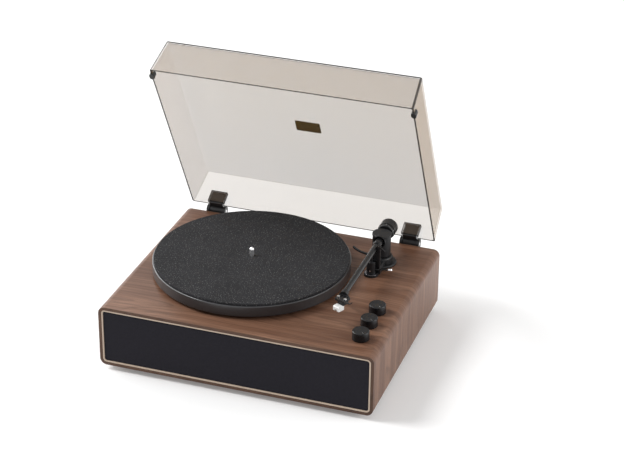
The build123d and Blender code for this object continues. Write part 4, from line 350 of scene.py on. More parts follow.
def wood_grain():
    """Grain that runs along the first coordinate: pores, streaks, dark lines and a slow figure."""

    def build(tree, inputs, outputs):
        at = inputs["Coordinates"]
        warp = grain_layer(tree, at, along=3.0, across=7.0, detail=2.0)
        bend = node(tree, "ShaderNodeCombineXYZ", X=0.0, Y=maths(tree, "MULTIPLY", warp, 0.045), Z=0.0)
        bent = vector_maths(tree, "ADD", at, bend)
        figure = grain_layer(tree, bent, along=2.2, across=38.0, detail=3.0, roughness=0.6)
        streak = grain_layer(tree, bent, along=5.0, across=170.0, detail=4.0, roughness=0.65)
        fine = grain_layer(tree, at, along=14.0, across=620.0, detail=3.0, roughness=0.6)
        pore = grain_layer(tree, at, along=60.0, across=1500.0, detail=2.0, roughness=0.5)
        slow = grain_layer(tree, bent, along=1.1, across=9.0, detail=2.0, roughness=0.45)
        ground = blend_colour(tree, remap(tree, figure, 0.36, 0.66), inputs["Ground"], inputs["Light"])
        rings = maths(tree, "MULTIPLY", slow, 34.0)
        ring = maths(tree, "FRACT", maths(tree, "ADD", rings, maths(tree, "MULTIPLY", streak, 0.30)))
        rise = remap(tree, ring, 0.62, 0.93)
        fall = remap(tree, ring, 0.93, 1.0, 1.0, 0.0)
        late = maths(tree, "MULTIPLY", maths(tree, "MULTIPLY", rise, fall), 0.75)
        veins = maths(tree, "MAXIMUM", late, remap(tree, streak, 0.50, 0.74))
        dark = maths(tree, "MULTIPLY", veins, inputs["Contrast"])
        grained = blend_colour(tree, dark, ground, inputs["Dark"])
        tinted = scaled(tree, grained, remap(tree, fine, 0.3, 0.7, 0.74, 1.14))
        hole = remap(tree, pore, 0.62, 0.70)
        final = blend_colour(tree, maths(tree, "MULTIPLY", hole, 0.60), tinted, inputs["Dark"])
        wire(tree, final, outputs["Colour"])
        wire(tree, maths(tree, "SUBTRACT", maths(tree, "MULTIPLY", fine, 0.6), hole), outputs["Height"])
        wire(tree, maths(tree, "MULTIPLY", streak, 0.16), outputs["Dullness"])

    return group(
        "Wood grain",
        [
            ("Coordinates", VECTOR),
            ("Dark", COLOUR),
            ("Ground", COLOUR),
            ("Light", COLOUR),
            ("Contrast", VALUE),
        ],
        [("Colour", COLOUR), ("Height", VALUE), ("Dullness", VALUE)],
        build,
    )


def handled():
    """Slow smudges and fine dust over a base colour, with the roughness they leave."""

    def build(tree, inputs, outputs):
        at = inputs["Coordinates"]
        smudge = noise(tree, at, scale=38.0, detail=4.0, roughness=0.6)
        dust = noise(tree, at, scale=900.0, detail=2.0, roughness=0.5)
        amount = inputs["Amount"]
        speck = maths(tree, "MULTIPLY", remap(tree, dust, 0.66, 0.76), amount)
        dusted = blend_colour(tree, maths(tree, "MULTIPLY", speck, 0.35), inputs["Base"], (0.5, 0.5, 0.5))
        wire(tree, dusted, outputs["Colour"])
        swing = maths(tree, "MULTIPLY", maths(tree, "SUBTRACT", smudge, 0.5), amount)
        wire(tree, maths(tree, "ADD", inputs["Roughness"], swing, clamp=True), outputs["Roughness"])
        wire(tree, maths(tree, "ADD", dust, maths(tree, "MULTIPLY", smudge, 0.5)), outputs["Height"])

    return group(
        "Handled surface",
        [("Coordinates", VECTOR), ("Base", COLOUR), ("Roughness", VALUE), ("Amount", VALUE)],
        [("Colour", COLOUR), ("Roughness", VALUE), ("Height", VALUE)],
        build,
    )


def moulded_grain():
    """Fine spark texture of moulded plastic and powder coat."""

    def build(tree, inputs, outputs):
        at = inputs["Coordinates"]
        cells = node(tree, "ShaderNodeTexVoronoi", {"feature": "SMOOTH_F1"}, Vector=at, Scale=1500.0)
        wire(tree, cells.outputs["Distance"], outputs["Height"])

    return group("Moulded grain", [("Coordinates", VECTOR)], [("Height", VALUE)], build)


def cloth_weave():
    """Plain weave in the X and Z directions of a flat front, with painted shade in its hollows and painted
    highlight on its crests.
    """

    def build(tree, inputs, outputs):
        parts = node(tree, "ShaderNodeSeparateXYZ", Vector=inputs["Coordinates"]).outputs
        step = maths(tree, "DIVIDE", 2 * math.pi, inputs["Thread"])
        across = maths(tree, "SINE", maths(tree, "MULTIPLY", parts[0], step))
        along = maths(tree, "SINE", maths(tree, "MULTIPLY", parts[2], step))
        over = maths(tree, "MULTIPLY", across, along)
        uneven = noise(tree, inputs["Coordinates"], scale=260.0, detail=3.0)
        height = maths(tree, "MULTIPLY", maths(tree, "ADD", over, uneven), 0.5)
        # Colour follows the weave's height: painted shade in the hollows and painted highlight on the crests,
        # with random unevenness from the noise
        weave_shade = remap(tree, height, -0.3, 0.75, 0.55, 1.75)
        wire(tree, scaled(tree, inputs["Base"], weave_shade), outputs["Colour"])
        wire(tree, height, outputs["Height"])

    return group(
        "Cloth weave",
        [("Coordinates", VECTOR), ("Base", COLOUR), ("Thread", VALUE)],
        [("Colour", COLOUR), ("Height", VALUE)],
        build,
    )


def new_material(name):
    """Material with a Principled shader and the object's own coordinates."""
    made = bpy.data.materials.new(name)
    made.use_nodes = True
    tree = made.node_tree
    shader = tree.nodes["Principled BSDF"]
    at = tree.nodes.new("ShaderNodeTexCoord").outputs["Object"]
    return made, tree, shader, at


def constants(shader, **values):
    """Set inputs of a shader to constant values."""
    for key, value in values.items():
        shader.inputs[key.replace("_", " ")].default_value = value


def bump(tree, shader, height, distance, strength):
    made = node(tree, "ShaderNodeBump", Height=height, Distance=distance, Strength=strength)
    wire(tree, made, shader.inputs["Normal"])


def finish(name, base, rough, metal=0.0, amount=0.2, grain=0.0, coat=0.0, specular=0.5):
    """Moulded, painted or bare surface with smudges, dust and, where asked, a moulded grain."""
    if name in bpy.data.materials:
        return bpy.data.materials[name]
    made, tree, shader, at = new_material(name)
    out = use_group(tree, handled(), Coordinates=at, Base=base, Roughness=rough, Amount=amount)
    wire(tree, out["Colour"], shader.inputs["Base Color"])
    wire(tree, out["Roughness"], shader.inputs["Roughness"])
    constants(shader, Metallic=metal, Coat_Weight=coat, Specular_IOR_Level=specular)
    if grain:
        cells = use_group(tree, moulded_grain(), Coordinates=at)
        bump(tree, shader, cells["Height"], distance=grain, strength=0.6)
    else:
        bump(tree, shader, out["Height"], distance=0.000012, strength=0.5)
    return made


def zinc_steel():
    return finish("zinc_steel", (0.42, 0.42, 0.43), rough=0.38, metal=1.0)


def arm_moulding(tints):
    return finish("arm_moulding", tints.black[:], rough=0.38, grain=FINE_GRAIN, specular=0.30)


def turned_metal(name, base, centre, rough):
    """Metal with fine lathe marks round an upright axis."""
    if name in bpy.data.materials:
        return bpy.data.materials[name]
    made, tree, shader, at = new_material(name)
    lines = lathe_marks(tree, at, centre, scale=5200.0, roughness=0.6)
    out = use_group(tree, handled(), Coordinates=at, Base=base, Roughness=rough, Amount=0.15)
    wire(tree, out["Colour"], shader.inputs["Base Color"])
    uneven = maths(tree, "MULTIPLY", lines, 0.12)
    wire(tree, maths(tree, "ADD", out["Roughness"], uneven), shader.inputs["Roughness"])
    constants(shader, Metallic=1.0)
    bump(tree, shader, lines, distance=0.000015, strength=0.6)
    return made


def veneer_material(sizes, tints):
    """Walnut veneer with its grain over the deck and down both sides, and a dark band at the front end."""
    made, tree, shader, at = new_material("walnut_veneer")
    low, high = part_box("cabinet_shell")
    parts = node(tree, "ShaderNodeSeparateXYZ", Vector=at).outputs
    drop = maths(tree, "SUBTRACT", high.z, parts[2])
    run = maths(tree, "ADD", parts[0], maths(tree, "MULTIPLY", maths(tree, "SIGN", parts[0]), drop))
    wrapped = node(tree, "ShaderNodeCombineXYZ", X=run, Y=parts[1], Z=0.0)
    out = use_group(
        tree, wood_grain(), Coordinates=wrapped, Dark=tints.veneer_dark[:], Ground=tints.veneer_mid[:],
        Light=tints.veneer_light[:], Contrast=0.60,
    )
    front = maths(tree, "LESS_THAN", parts[1], low.y + sizes.band)
    back = maths(tree, "GREATER_THAN", parts[1], high.y - sizes.band)
    band = blend_colour(tree, VENEER_IN_BAND, tints.end_band[:], out["Colour"])
    with_band = blend_colour(tree, front, out["Colour"], band)
    wire(tree, blend_colour(tree, back, with_band, tints.board[:]), shader.inputs["Base Color"])
    wire(tree, maths(tree, "ADD", out["Dullness"], 0.30), shader.inputs["Roughness"])
    constants(shader, Specular_IOR_Level=0.26)
    bump(tree, shader, out["Height"], distance=0.00006, strength=0.6)
    return made


def board_material(tints):
    """Fibreboard and batten wood, with a faint grain across."""
    made, tree, shader, at = new_material("bare_board")
    out = use_group(
        tree, wood_grain(), Coordinates=at, Dark=[0.6 * c for c in tints.board], Ground=tints.board[:],
        Light=[min(1.0, 1.25 * c) for c in tints.board], Contrast=0.3,
    )
    wire(tree, out["Colour"], shader.inputs["Base Color"])
    constants(shader, Roughness=0.7)
    bump(tree, shader, out["Height"], distance=0.00005, strength=0.5)
    return made


def cloth_material(sizes, tints):
    made, tree, shader, at = new_material("grille_weave")
    out = use_group(tree, cloth_weave(), Coordinates=at, Base=tints.cloth[:], Thread=sizes.thread)
    wire(tree, out["Colour"], shader.inputs["Base Color"])
    constants(shader, Roughness=0.85, Sheen_Weight=0.05, Specular_IOR_Level=0.1)
    bump(tree, shader, out["Height"], distance=0.00012, strength=0.8)
    return made


def mat_material(sizes, tints):
    """Dense felt-like mat with pale flecks and very faint rings."""
    made, tree, shader, at = new_material("record_mat")
    low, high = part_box("platter_mat")
    fleck = noise(tree, at, scale=620.0, detail=1.0, roughness=0.5)
    patch = noise(tree, at, scale=16.0, detail=4.0, roughness=0.6)
    pile = noise(tree, at, scale=2600.0, detail=2.0, roughness=0.6)
    radius = from_upright(tree, at, (low + high) / 2)[1]
    rings = maths(tree, "SINE", maths(tree, "MULTIPLY", radius, 2 * math.pi / sizes.mat_ring))
    ground = scaled(tree, tints.record_mat[:], remap(tree, patch, 0.3, 0.7, 0.86, 1.14))
    pale = remap(tree, fleck, 0.64, 0.70, 0.0, 0.9)
    wire(tree, blend_colour(tree, pale, ground, tints.fleck[:]), shader.inputs["Base Color"])
    constants(shader, Roughness=0.85, Specular_IOR_Level=0.12)
    height = maths(tree, "ADD", pile, maths(tree, "MULTIPLY", rings, 0.10))
    bump(tree, shader, height, distance=0.0002, strength=0.7)
    return made


def clear_material(name, tint, alpha, low=0.03, high=0.08, specular=0.08, edges=None, edge_shade_tint=None):
    """Smoked moulding that light passes straight through, with painted shade as dark edges where a mask is
    given.
    """
    made, tree, shader, at = new_material(name)
    haze = noise(tree, at, scale=24.0, detail=3.0)
    wire(tree, remap(tree, haze, 0.3, 0.7, low, high), shader.inputs["Roughness"])
    constants(shader, IOR=1.49, Specular_IOR_Level=specular)
    if edges:
        mask = edges(tree, at)
        wire(tree, blend_colour(tree, mask, tint, edge_shade_tint), shader.inputs["Base Color"])
        wire(tree, remap(tree, mask, 0.0, 1.0, alpha, EDGE_SHADE_ALPHA), shader.inputs["Alpha"])
    else:
        constants(shader, Base_Color=(*tint, 1.0), Alpha=alpha)
    return made


# Finishes on CAD nodes, and new pieces


def mark_faces(target, material, wanted):
    """Give another finish to the faces of a CAD node whose corner points and normal are wanted."""
    target.data.materials.append(material)
    index = len(target.data.materials) - 1
    vertices = target.data.vertices
    for face in target.data.polygons:
        if wanted([vertices[corner].co for corner in face.vertices], face.normal):
            face.material_index = index


def dress(names, material, bevel=0.0):
    """Give CAD nodes a finish, and soften their edges with modifiers."""
    for name in names:
        target = NODES[name]
        target.data.materials.clear()
        target.data.materials.append(material)
        if bevel:
            weld = target.modifiers.new("Weld", "WELD")
            weld.merge_threshold = WELD_DISTANCE
            soft = target.modifiers.new("Soft edges", "BEVEL")
            soft.width = bevel
            soft.segments = BEVEL_SEGMENTS
            soft.limit_method = "ANGLE"
            soft.angle_limit = BEVEL_ANGLE
        for face in target.data.polygons:
            face.use_smooth = True
        even = target.modifiers.new("Even shading", "WEIGHTED_NORMAL")
        even.keep_sharp = True


def piece(name, body, material, vertices, faces, replaces=()):
    """New mesh piece that rides on a body and takes a finish."""
    mesh = bpy.data.meshes.new(name)
    mesh.from_pydata([tuple(v) for v in vertices], [], [tuple(f) for f in faces])
    mesh.validate()
    made = bpy.data.objects.new(name, mesh)
    bpy.context.scene.collection.objects.link(made)
    mesh.materials.append(material)
    tidy_normals(mesh)
    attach(made, body)
    if replaces:
        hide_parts(*replaces)


def tidy_normals(mesh):
    """Point faces outwards, and shade them smooth except over sharp edges."""
    work = bmesh.new()
    work.from_mesh(mesh)
    bmesh.ops.recalc_face_normals(work, faces=work.faces)
    for edge in work.edges:
        edge.smooth = len(edge.link_faces) == 2 and edge.calc_face_angle(0.0) < SMOOTH_ANGLE
    for face in work.faces:
        face.smooth = True
    work.to_mesh(mesh)
    work.free()


def add_block(vertices, faces, block):
    """Add a block to a mesh: four corners of one end, and then the four above them."""
    start = len(vertices)
    vertices += block
    faces += [[start + corner for corner in side] for side in BLOCK_SIDES]


def flat_block(across, along, low, high):
    """Corners of a block over the ranges across and along, from a low level to a high one."""
    (left, right), (near, far) = across, along
    flat = ((left, near), (right, near), (right, far), (left, far))
    return [Vector((x, y, level)) for level in (low, high) for x, y in flat]


def ring_faces(rows, count, joined=False):
    """Faces between rows of points that each run round a ring; joined closes the last row to the first."""
    faces = []
    for row in range(rows if joined else rows - 1):
        here, ahead = row * count, (row + 1) % rows * count
        for step in range(count):
            after = (step + 1) % count
            faces.append((here + step, here + after, ahead + after, ahead + step))
    return faces


def middle(name):
    low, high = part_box(name)
    return (low + high) / 2


def solids(name):
    """Lowest and highest corners of each separate solid in a CAD node."""
    mesh = NODES[name].data
    root = {}

    def top(key):
        while root[key] != key:
            root[key] = root[root[key]]
            key = root[key]
        return key

    keys = [tuple(round(c / WELD_DISTANCE) for c in vertex.co) for vertex in mesh.vertices]
    for key in keys:
        root.setdefault(key, key)
    for edge in mesh.edges:
        a, b = (top(keys[corner]) for corner in edge.vertices)
        root[a] = b
    found = {}
    for key, vertex in zip(keys, mesh.vertices):
        found.setdefault(top(key), []).append(vertex.co)
    return [corners(points) for points in found.values()]


def corners(points):
    """Lowest and highest corners of a list of points."""
    low, high = ([pick(point[i] for point in points) for i in range(3)] for pick in (min, max))
    return Vector(low), Vector(high)


def crosses(name, body, screws, material):
    """Dark crosses on the rear ends of like screws, painted shade standing for their cross recesses."""
    vertices, faces = [], []
    for low, high in solids(screws):
        centre = Vector(((low.x + high.x) / 2, high.y, (low.z + high.z) / 2))
        size = min(high.x - low.x, high.z - low.z)
        long, short = CROSS_LENGTH * size / 2, CROSS_WIDTH * size / 2
        for half_x, half_z in ((long, short), (short, long)):
            block = flat_block((-half_x, half_x), (-half_z, half_z), -CROSS_RISE, CROSS_RISE)
            add_block(vertices, faces, [centre + Vector((x, y, z)) for x, z, y in block])
    piece(name, body, material, vertices, faces)


# Cabinet


class PLAYER_OT_cabinet(bpy.types.Operator):
    """Veneered board, its inlay, feet and rear panel"""

    bl_idname = "player.cabinet"
    bl_label = "Cabinet"

    def execute(self, context):
        sizes, tints = context.scene.player_sizes, context.scene.player_colours
        dress(["cabinet_shell"], veneer_material(sizes, tints), sizes.board_edge)
        boards = ["rear_panel", "rear_battens", "front_baffle", "grille_frame"]
        dress(boards, board_material(tints), sizes.edge)
        dress(["trim_frame"], finish("inlay", tints.inlay[:], rough=0.35, amount=0.1), FINE_EDGE)
        rubber = finish("foot_rubber", (0.012, 0.012, 0.012), rough=0.75, grain=COARSE_GRAIN)
        dress(["feet"], rubber, sizes.edge)
        return {"FINISHED"}


class PLAYER_OT_grille(bpy.types.Operator):
    """Woven cloth over the grille frame, rolled back at its edge"""

    bl_idname = "player.grille"
    bl_label = "Grille cloth"

    def execute(self, context):
        sizes, tints = context.scene.player_sizes, context.scene.player_colours
        low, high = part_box("grille_cloth")
        centre = (low + high) / 2
        half_width = (high.x - low.x) / 2
        half_height = (high.z - low.z) / 2
        vertices = []
        for crowns, rise in CLOTH_RINGS:
            inset = sizes.crown * crowns
            corner = max(sizes.cloth_corner - inset, CLOTH_LEAST_CORNER)
            outline = rounded_outline(half_width - inset, half_height - inset, corner)
            y = high.y - (high.y - low.y) * rise
            vertices += [(centre.x + x, y, centre.z + z) for x, z in outline]
        count = len(outline)
        faces = ring_faces(len(CLOTH_RINGS), count)
        faces.append(range(len(vertices) - count, len(vertices)))
        faces.append(range(count))
        weave = cloth_material(sizes, tints)
        piece("woven_cloth", "cabinet", weave, vertices, faces, ["grille_cloth"])
        return {"FINISHED"}


def rounded_outline(half_width, half_height, corner):
    """Points round a rounded rectangle, anticlockwise from the lower right corner."""
    points = []
    for side_x, side_z, start in ((1, -1, -90), (1, 1, 0), (-1, 1, 90), (-1, -1, 180)):
        for step in range(CLOTH_CORNER_STEPS + 1):
            a = math.radians(start + 90 * step / CLOTH_CORNER_STEPS)
            x = side_x * (half_width - corner) + corner * math.cos(a)
            points.append((x, side_z * (half_height - corner) + corner * math.sin(a)))
    return points


class PLAYER_OT_platter(bpy.types.Operator):
    """Platter, mat, hub, spindle, bearing and drive"""

    bl_idname = "player.platter"
    bl_label = "Platter and drive"

    def execute(self, context):
        sizes, tints = context.scene.player_sizes, context.scene.player_colours
        centre = middle("platter")
        dress(["platter"], platter_material(tints, centre), PLATTER_EDGE)
        dress(["platter_mat"], mat_material(sizes, tints), MOULDED_EDGE)
        steel = turned_metal("spindle_steel", (0.86, 0.86, 0.87), centre, rough=0.30)
        dress(["spindle"], steel, SPINDLE_EDGE)
        brass = turned_metal("turned_brass", BRASS, centre, rough=0.25)
        dress(["platter_hub", "main_bearing"], brass, FINE_EDGE)
        pulley = turned_metal("pulley_brass", BRASS, middle("motor_pulley"), rough=0.22)
        dress(["motor_pulley"], pulley, HAIR_EDGE)
        dress(["motor", "motor_plate"], zinc_steel(), MOULDED_EDGE)
        rubber = finish("belt_rubber", (0.015, 0.015, 0.015), rough=0.6, grain=FINE_GRAIN)
        dress(["drive_belt", "motor_grommets"], rubber)
        return {"FINISHED"}


def platter_material(tints, centre):
    """Dark coated alloy, satin, with faint lathe marks round the rim."""
    made, tree, shader, at = new_material("platter_coat")
    lines = lathe_marks(tree, at, centre, scale=2600.0)
    out = use_group(tree, handled(), Coordinates=at, Base=tints.platter[:], Roughness=0.40, Amount=0.12)
    wire(tree, out["Colour"], shader.inputs["Base Color"])
    uneven = maths(tree, "MULTIPLY", lines, 0.05)
    wire(tree, maths(tree, "ADD", out["Roughness"], uneven), shader.inputs["Roughness"])
    constants(shader, Metallic=0.6, Coat_Weight=0.8, Coat_Roughness=0.18)
    bump(tree, shader, lines, distance=0.00001, strength=0.5)
    return made


class PLAYER_OT_knobs(bpy.types.Operator):
    """Three knobs with their pointer lines, and the controls under the deck"""

    bl_idname = "player.knobs"
    bl_label = "Knobs"

    def execute(self, context):
        sizes, tints = context.scene.player_sizes, context.scene.player_colours
        shade = finish("knob_black", (0.007, 0.007, 0.008), rough=0.24, amount=0.10, specular=0.30)
        mark = finish("pointer_grey", (0.30, 0.30, 0.30), rough=0.5)
        dress(["speed_knob", "source_knob", "volume_knob"], shade, MOULDED_EDGE)
        for name in ("speed", "source", "volume"):
            low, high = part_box(f"{name}_knob")
            centre = (low + high) / 2
            radius = (high.x - low.x) / 2
            along = [share * radius for share in POINTER_SHARES]
            across = (-sizes.pointer / 2, sizes.pointer / 2)
            block = flat_block(along, across, high.z - sizes.pointer_foot, high.z - sizes.pointer_top)
            place = Matrix.Translation((centre.x, centre.y, 0)) @ Matrix.Rotation(POINTER_ANGLE, 4, "Z")
            vertices, faces = [], []
            add_block(vertices, faces, [place @ corner for corner in block])
            piece(f"{name}_pointer", f"{name}_knob", mark, vertices, faces)
        dress(["rotary_controls", "panel_nuts", "board_standoffs"], zinc_steel(), FINE_EDGE)
        return {"FINISHED"}


class PLAYER_OT_cover(bpy.types.Operator):
    """Smoked cover with its plate, clips and hinges"""

    bl_idname = "player.cover"
    bl_label = "Dust cover"

    def execute(self, context):
        sizes, tints = context.scene.player_sizes, context.scene.player_colours
        joints = FRAME["record"]["behaviour"]["joints"]
        hinge = next(joint for joint in joints if joint["child"] == "dust_cover")
        closing_angle = math.radians(hinge["range_deg"][1])
        closing = Quaternion(Vector(hinge["axis"]), closing_angle)
        axis = Vector(hinge["pos_m"])

        def closed(points):
            return [closing @ (point - axis) for point in points]

        cover = NODES["dust_cover"]
        shut = closed([vertex.co for vertex in cover.data.vertices])
        rim, top = (pick(point.z for point in shut) for pick in (min, max))

        def panel(points, normal):
            turned = closing @ normal
            rear = abs(turned.y) > SQUARE and min(p.y for p in closed(points)) > REAR_WALL_Y
            return abs(turned.z) > SQUARE or rear

        def front_wall(points, normal):
            outward = (closing @ normal).y
            return outward < -SQUARE or outward > SQUARE and max(p.y for p in closed(points)) < FRONT_WALL_Y

        def pocket(points, normal):
            over = rim + POCKET_HEIGHT
            return all(abs(abs(p.x) - POCKET_X) < POCKET_HALF_WIDTH and p.z < over for p in closed(points))

        def pocket_side(points, normal):
            turned = closing @ normal
            return pocket(points, normal) and (abs(turned.x) > SQUARE or abs(turned.z) > SQUARE)

        def rim_face(points, normal):
            return max(p.z for p in closed(points)) < rim + RIM_SLACK

        def front_edge(level, reach):
            """Place of the front wall and of the side walls near a level of the closed cover."""
            near = [point for point in shut if abs(point.z - level) < reach]
            return axis.y + min(point.y for point in near), max(abs(point.x) for point in near)

        (low_y, low_x), (high_y, high_x) = front_edge(rim, RIM_REACH), front_edge(top, TOP_REACH)

        def edges(tree, at):
            """Mask of painted shade on the front's upper and upright edges, where one looks along the sheet.
            """
            hinged = {"Center": tuple(axis), "Axis": tuple(hinge["axis"]), "Angle": closing_angle}
            settings = {"rotation_type": "AXIS_ANGLE"}
            turned = node(tree, "ShaderNodeVectorRotate", settings, Vector=at, **hinged)
            x, y, z = node(tree, "ShaderNodeSeparateXYZ", Vector=turned.outputs[0]).outputs
            low, high, width = axis.z + rim, axis.z + top, sizes.cover_edge
            wall_y = remap(tree, z, low, high, low_y + width, high_y + width)
            wall_x = remap(tree, z, low, high, low_x - width, high_x - width)
            side = maths(tree, "GREATER_THAN", maths(tree, "ABSOLUTE", x), wall_x)
            above = maths(tree, "GREATER_THAN", z, high - width)
            ahead = maths(tree, "LESS_THAN", y, wall_y)
            return maths(tree, "MULTIPLY", ahead, maths(tree, "MAXIMUM", side, above))

        def sheet(name, tint, alpha):
            return clear_material(name, tint[:], alpha, edges=edges, edge_shade_tint=tints.smoke_edge[:])

        dark, tint = tints.smoke_edge[:], tints.smoke_pocket[:]
        pocket_clear = clear_material("smoked_pocket", tint, 0.30, low=0.1, high=0.2, specular=0.1)
        # Painted shade on the pocket sides and the rim: the dark look of the sheet seen along it
        pocket_side_shade = clear_material("smoked_pocket_side", dark, 0.88, low=0.3, high=0.4, specular=0.03)
        rim_shade = clear_material("smoked_rim", dark, 0.92, low=0.15, high=0.25)
        # Walls and top panel take copies of one smoke with their own tint and see-through, set to the shade
        # each shows at its angle: painted shade
        dress(["dust_cover"], sheet("smoked_wall", tints.smoke, 0.36))
        mark_faces(cover, sheet("smoked_panel", tints.smoke_panel, 0.33), panel)
        # The front wall takes a thinner copy of the smoke so that it shows lighter: a painted reflection
        mark_faces(cover, sheet("smoked_front", tints.smoke, 0.11), front_wall)
        mark_faces(cover, pocket_clear, pocket)
        mark_faces(cover, pocket_side_shade, pocket_side)
        mark_faces(cover, rim_shade, rim_face)
        bronze = finish("badge_bronze", (0.046, 0.046, 0.052), rough=0.40, metal=0.3)
        dress(["cover_badge"], bronze, FINE_EDGE)
        self.badge_border(sizes, closing, axis)
        dress(["cover_bumpers"], finish("clip_rubber", (0.008, 0.008, 0.008), rough=0.55), CLIP_EDGE)
        bracket = finish("hinge_black", tints.black[:], rough=0.42, grain=COARSE_GRAIN)
        dress(["hinge_brackets", "hinge_arms"], bracket, sizes.edge)

        def in_pocket(points, normal):
            return min(p.z for p in closed(points)) > rim - RIM_SLACK

        brown = finish("hinge_brown", (0.120, 0.092, 0.072), rough=0.40, grain=COARSE_GRAIN)
        mark_faces(NODES["hinge_arms"], brown, in_pocket)
        dress(["rear_screws"], finish("black_screws", (0.02, 0.02, 0.02), rough=0.35, metal=0.8), FINE_EDGE)
        # The near-black crosses are painted shade standing for the insides of the screws' cross recesses
        recess_shade = finish("screw_recess", (0.004, 0.004, 0.004), rough=0.7)
        crosses("rear_screw_cross_shade", "cabinet", "rear_screws", recess_shade)
        return {"FINISHED"}

    def badge_border(self, sizes, closing, axis):
        """Thin pale frame round the bare plate, on the outer side of the top panel."""
        low, high = corners([closing @ (vertex.co - axis) for vertex in NODES["cover_badge"].data.vertices])
        opening = closing.inverted()
        outer, inner = sizes.border_inset, sizes.border_inset + sizes.border
        foot, face = high.z - MARK_SINK, high.z + BORDER_RISE
        vertices = []
        for inset, z in ((outer, foot), (outer, face), (inner, face), (inner, foot)):
            left, right = low.x + inset, high.x - inset
            near, far = low.y + inset, high.y - inset
            for x, y in ((left, near), (right, near), (right, far), (left, far)):
                vertices.append(opening @ Vector((x, y, z)) + axis)
        pale = finish("badge_border", (0.30, 0.26, 0.21), rough=0.30, metal=0.8)
        piece("badge_border", "dust_cover", pale, vertices, ring_faces(4, 4, joined=True))


class PLAYER_OT_tonearm(bpy.types.Operator):
    """Arm, base, lift, weight and cartridge"""

    bl_idname = "player.tonearm"
    bl_label = "Tonearm"

    def execute(self, context):
        sizes, tints = context.scene.player_sizes, context.scene.player_colours
        moulded = arm_moulding(tints)
        painted = finish("arm_paint", tints.black[:], rough=0.22, amount=0.08, specular=0.38)
        dress(["arm_base", "arm_housing", "rest_latch", "headshell", "cartridge"], moulded, sizes.edge)
        dress(["arm_tube", "arm_sleeve", "arm_stub", "lift_bar", "cue_lever"], painted, FINE_EDGE)
        weight = finish("weight_paint", tints.black[:], rough=0.28, amount=0.1, specular=0.35)
        dress(["counterweight", "force_dial"], weight, FINE_EDGE)
        bright = finish("polished_steel", (0.72, 0.72, 0.73), rough=0.14, metal=1.0, amount=0.1)
        dress(["headshell_screws", "arm_pivot_screws", "fixed_pins"], bright, SCREW_EDGE)
        dress(["inner_screws", "arm_yaw_pin", "stylus"], bright, SCREW_EDGE)
        chrome = finish("chrome_plate", (0.85, 0.85, 0.87), rough=0.06, metal=1.0, amount=0.05)
        dress(["cue_lever_tip"], chrome, FINE_EDGE)
        dark_chrome = finish("dark_chrome", (0.22, 0.22, 0.24), rough=0.10, metal=1.0, amount=0.05)
        dress(["lift_ring"], dark_chrome, FINE_EDGE)
        dress(["finger_lift"], painted, HAIR_EDGE)
        white = finish("white_moulding", (0.80, 0.80, 0.79), rough=0.35, amount=0.1)
        dress(["stylus_block"], white, MOULDED_EDGE)
        self.force_marks(sizes)
        return {"FINISHED"}

    def force_marks(self, sizes):
        """Plain marks and figures round the force ring."""
        low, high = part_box("force_dial")
        centre = (low + high) / 2
        radius = (high.x - low.x) / 2
        front = low.y + sizes.tick_margin
        vertices, faces = [], []
        for step in range(sizes.ticks):
            place = self.ring_place(centre, radius, 2 * math.pi * step / sizes.ticks)
            run = sizes.long_tick if step % TICKS_PER_LONG == 0 else sizes.tick_length
            across = (-sizes.tick / 2, sizes.tick / 2)
            block = flat_block(across, (front, front + run), -MARK_SINK, MARK_RISE)
            add_block(vertices, faces, [place @ corner for corner in block])
        white = finish("mark_white", (0.62, 0.62, 0.62), rough=0.5, amount=0.1)
        piece("force_ticks", "force_dial", white, vertices, faces)
        for figure in range(FIGURES):
            angle = math.pi / 2 + 2 * math.pi * figure / FIGURES
            place = self.ring_place(centre, radius + FIGURE_RISE, angle)
            foot = Matrix.Translation((0, high.y - sizes.figure_margin, 0))
            self.figure(str(figure), sizes.figure, place @ foot, white)

    def ring_place(self, centre, radius, angle):
        """Frame on the force ring: X round it, Y the player's own, and Z outwards."""
        out = Vector((math.cos(angle), 0, math.sin(angle)))
        side = Vector((-math.sin(angle), 0, math.cos(angle)))
        place = Vector((centre.x, 0, centre.z)) + out * radius
        return Matrix.Translation(place) @ Matrix((side, (0, 1, 0), out)).transposed().to_4x4()

    def figure(self, text, size, place, material):
        """One plain figure, flat against the ring, with its foot towards the weight."""
        curve = bpy.data.curves.new(f"figure_{text}", "FONT")
        curve.body = text
        curve.size = size
        curve.extrude = MARK_RISE
        curve.align_x = "CENTER"
        curve.resolution_u = 3
        letter = bpy.data.objects.new(f"figure_{text}_curve", curve)
        bpy.context.scene.collection.objects.link(letter)
        mesh = bpy.data.meshes.new_from_object(letter)
        bpy.data.objects.remove(letter)
        vertices = [place @ Vector((v.co.x, -v.co.y, v.co.z)) for v in mesh.vertices]
        faces = [tuple(face.vertices) for face in mesh.polygons]
        bpy.data.meshes.remove(mesh)
        piece(f"figure_{text}", "force_dial", material, vertices, faces)


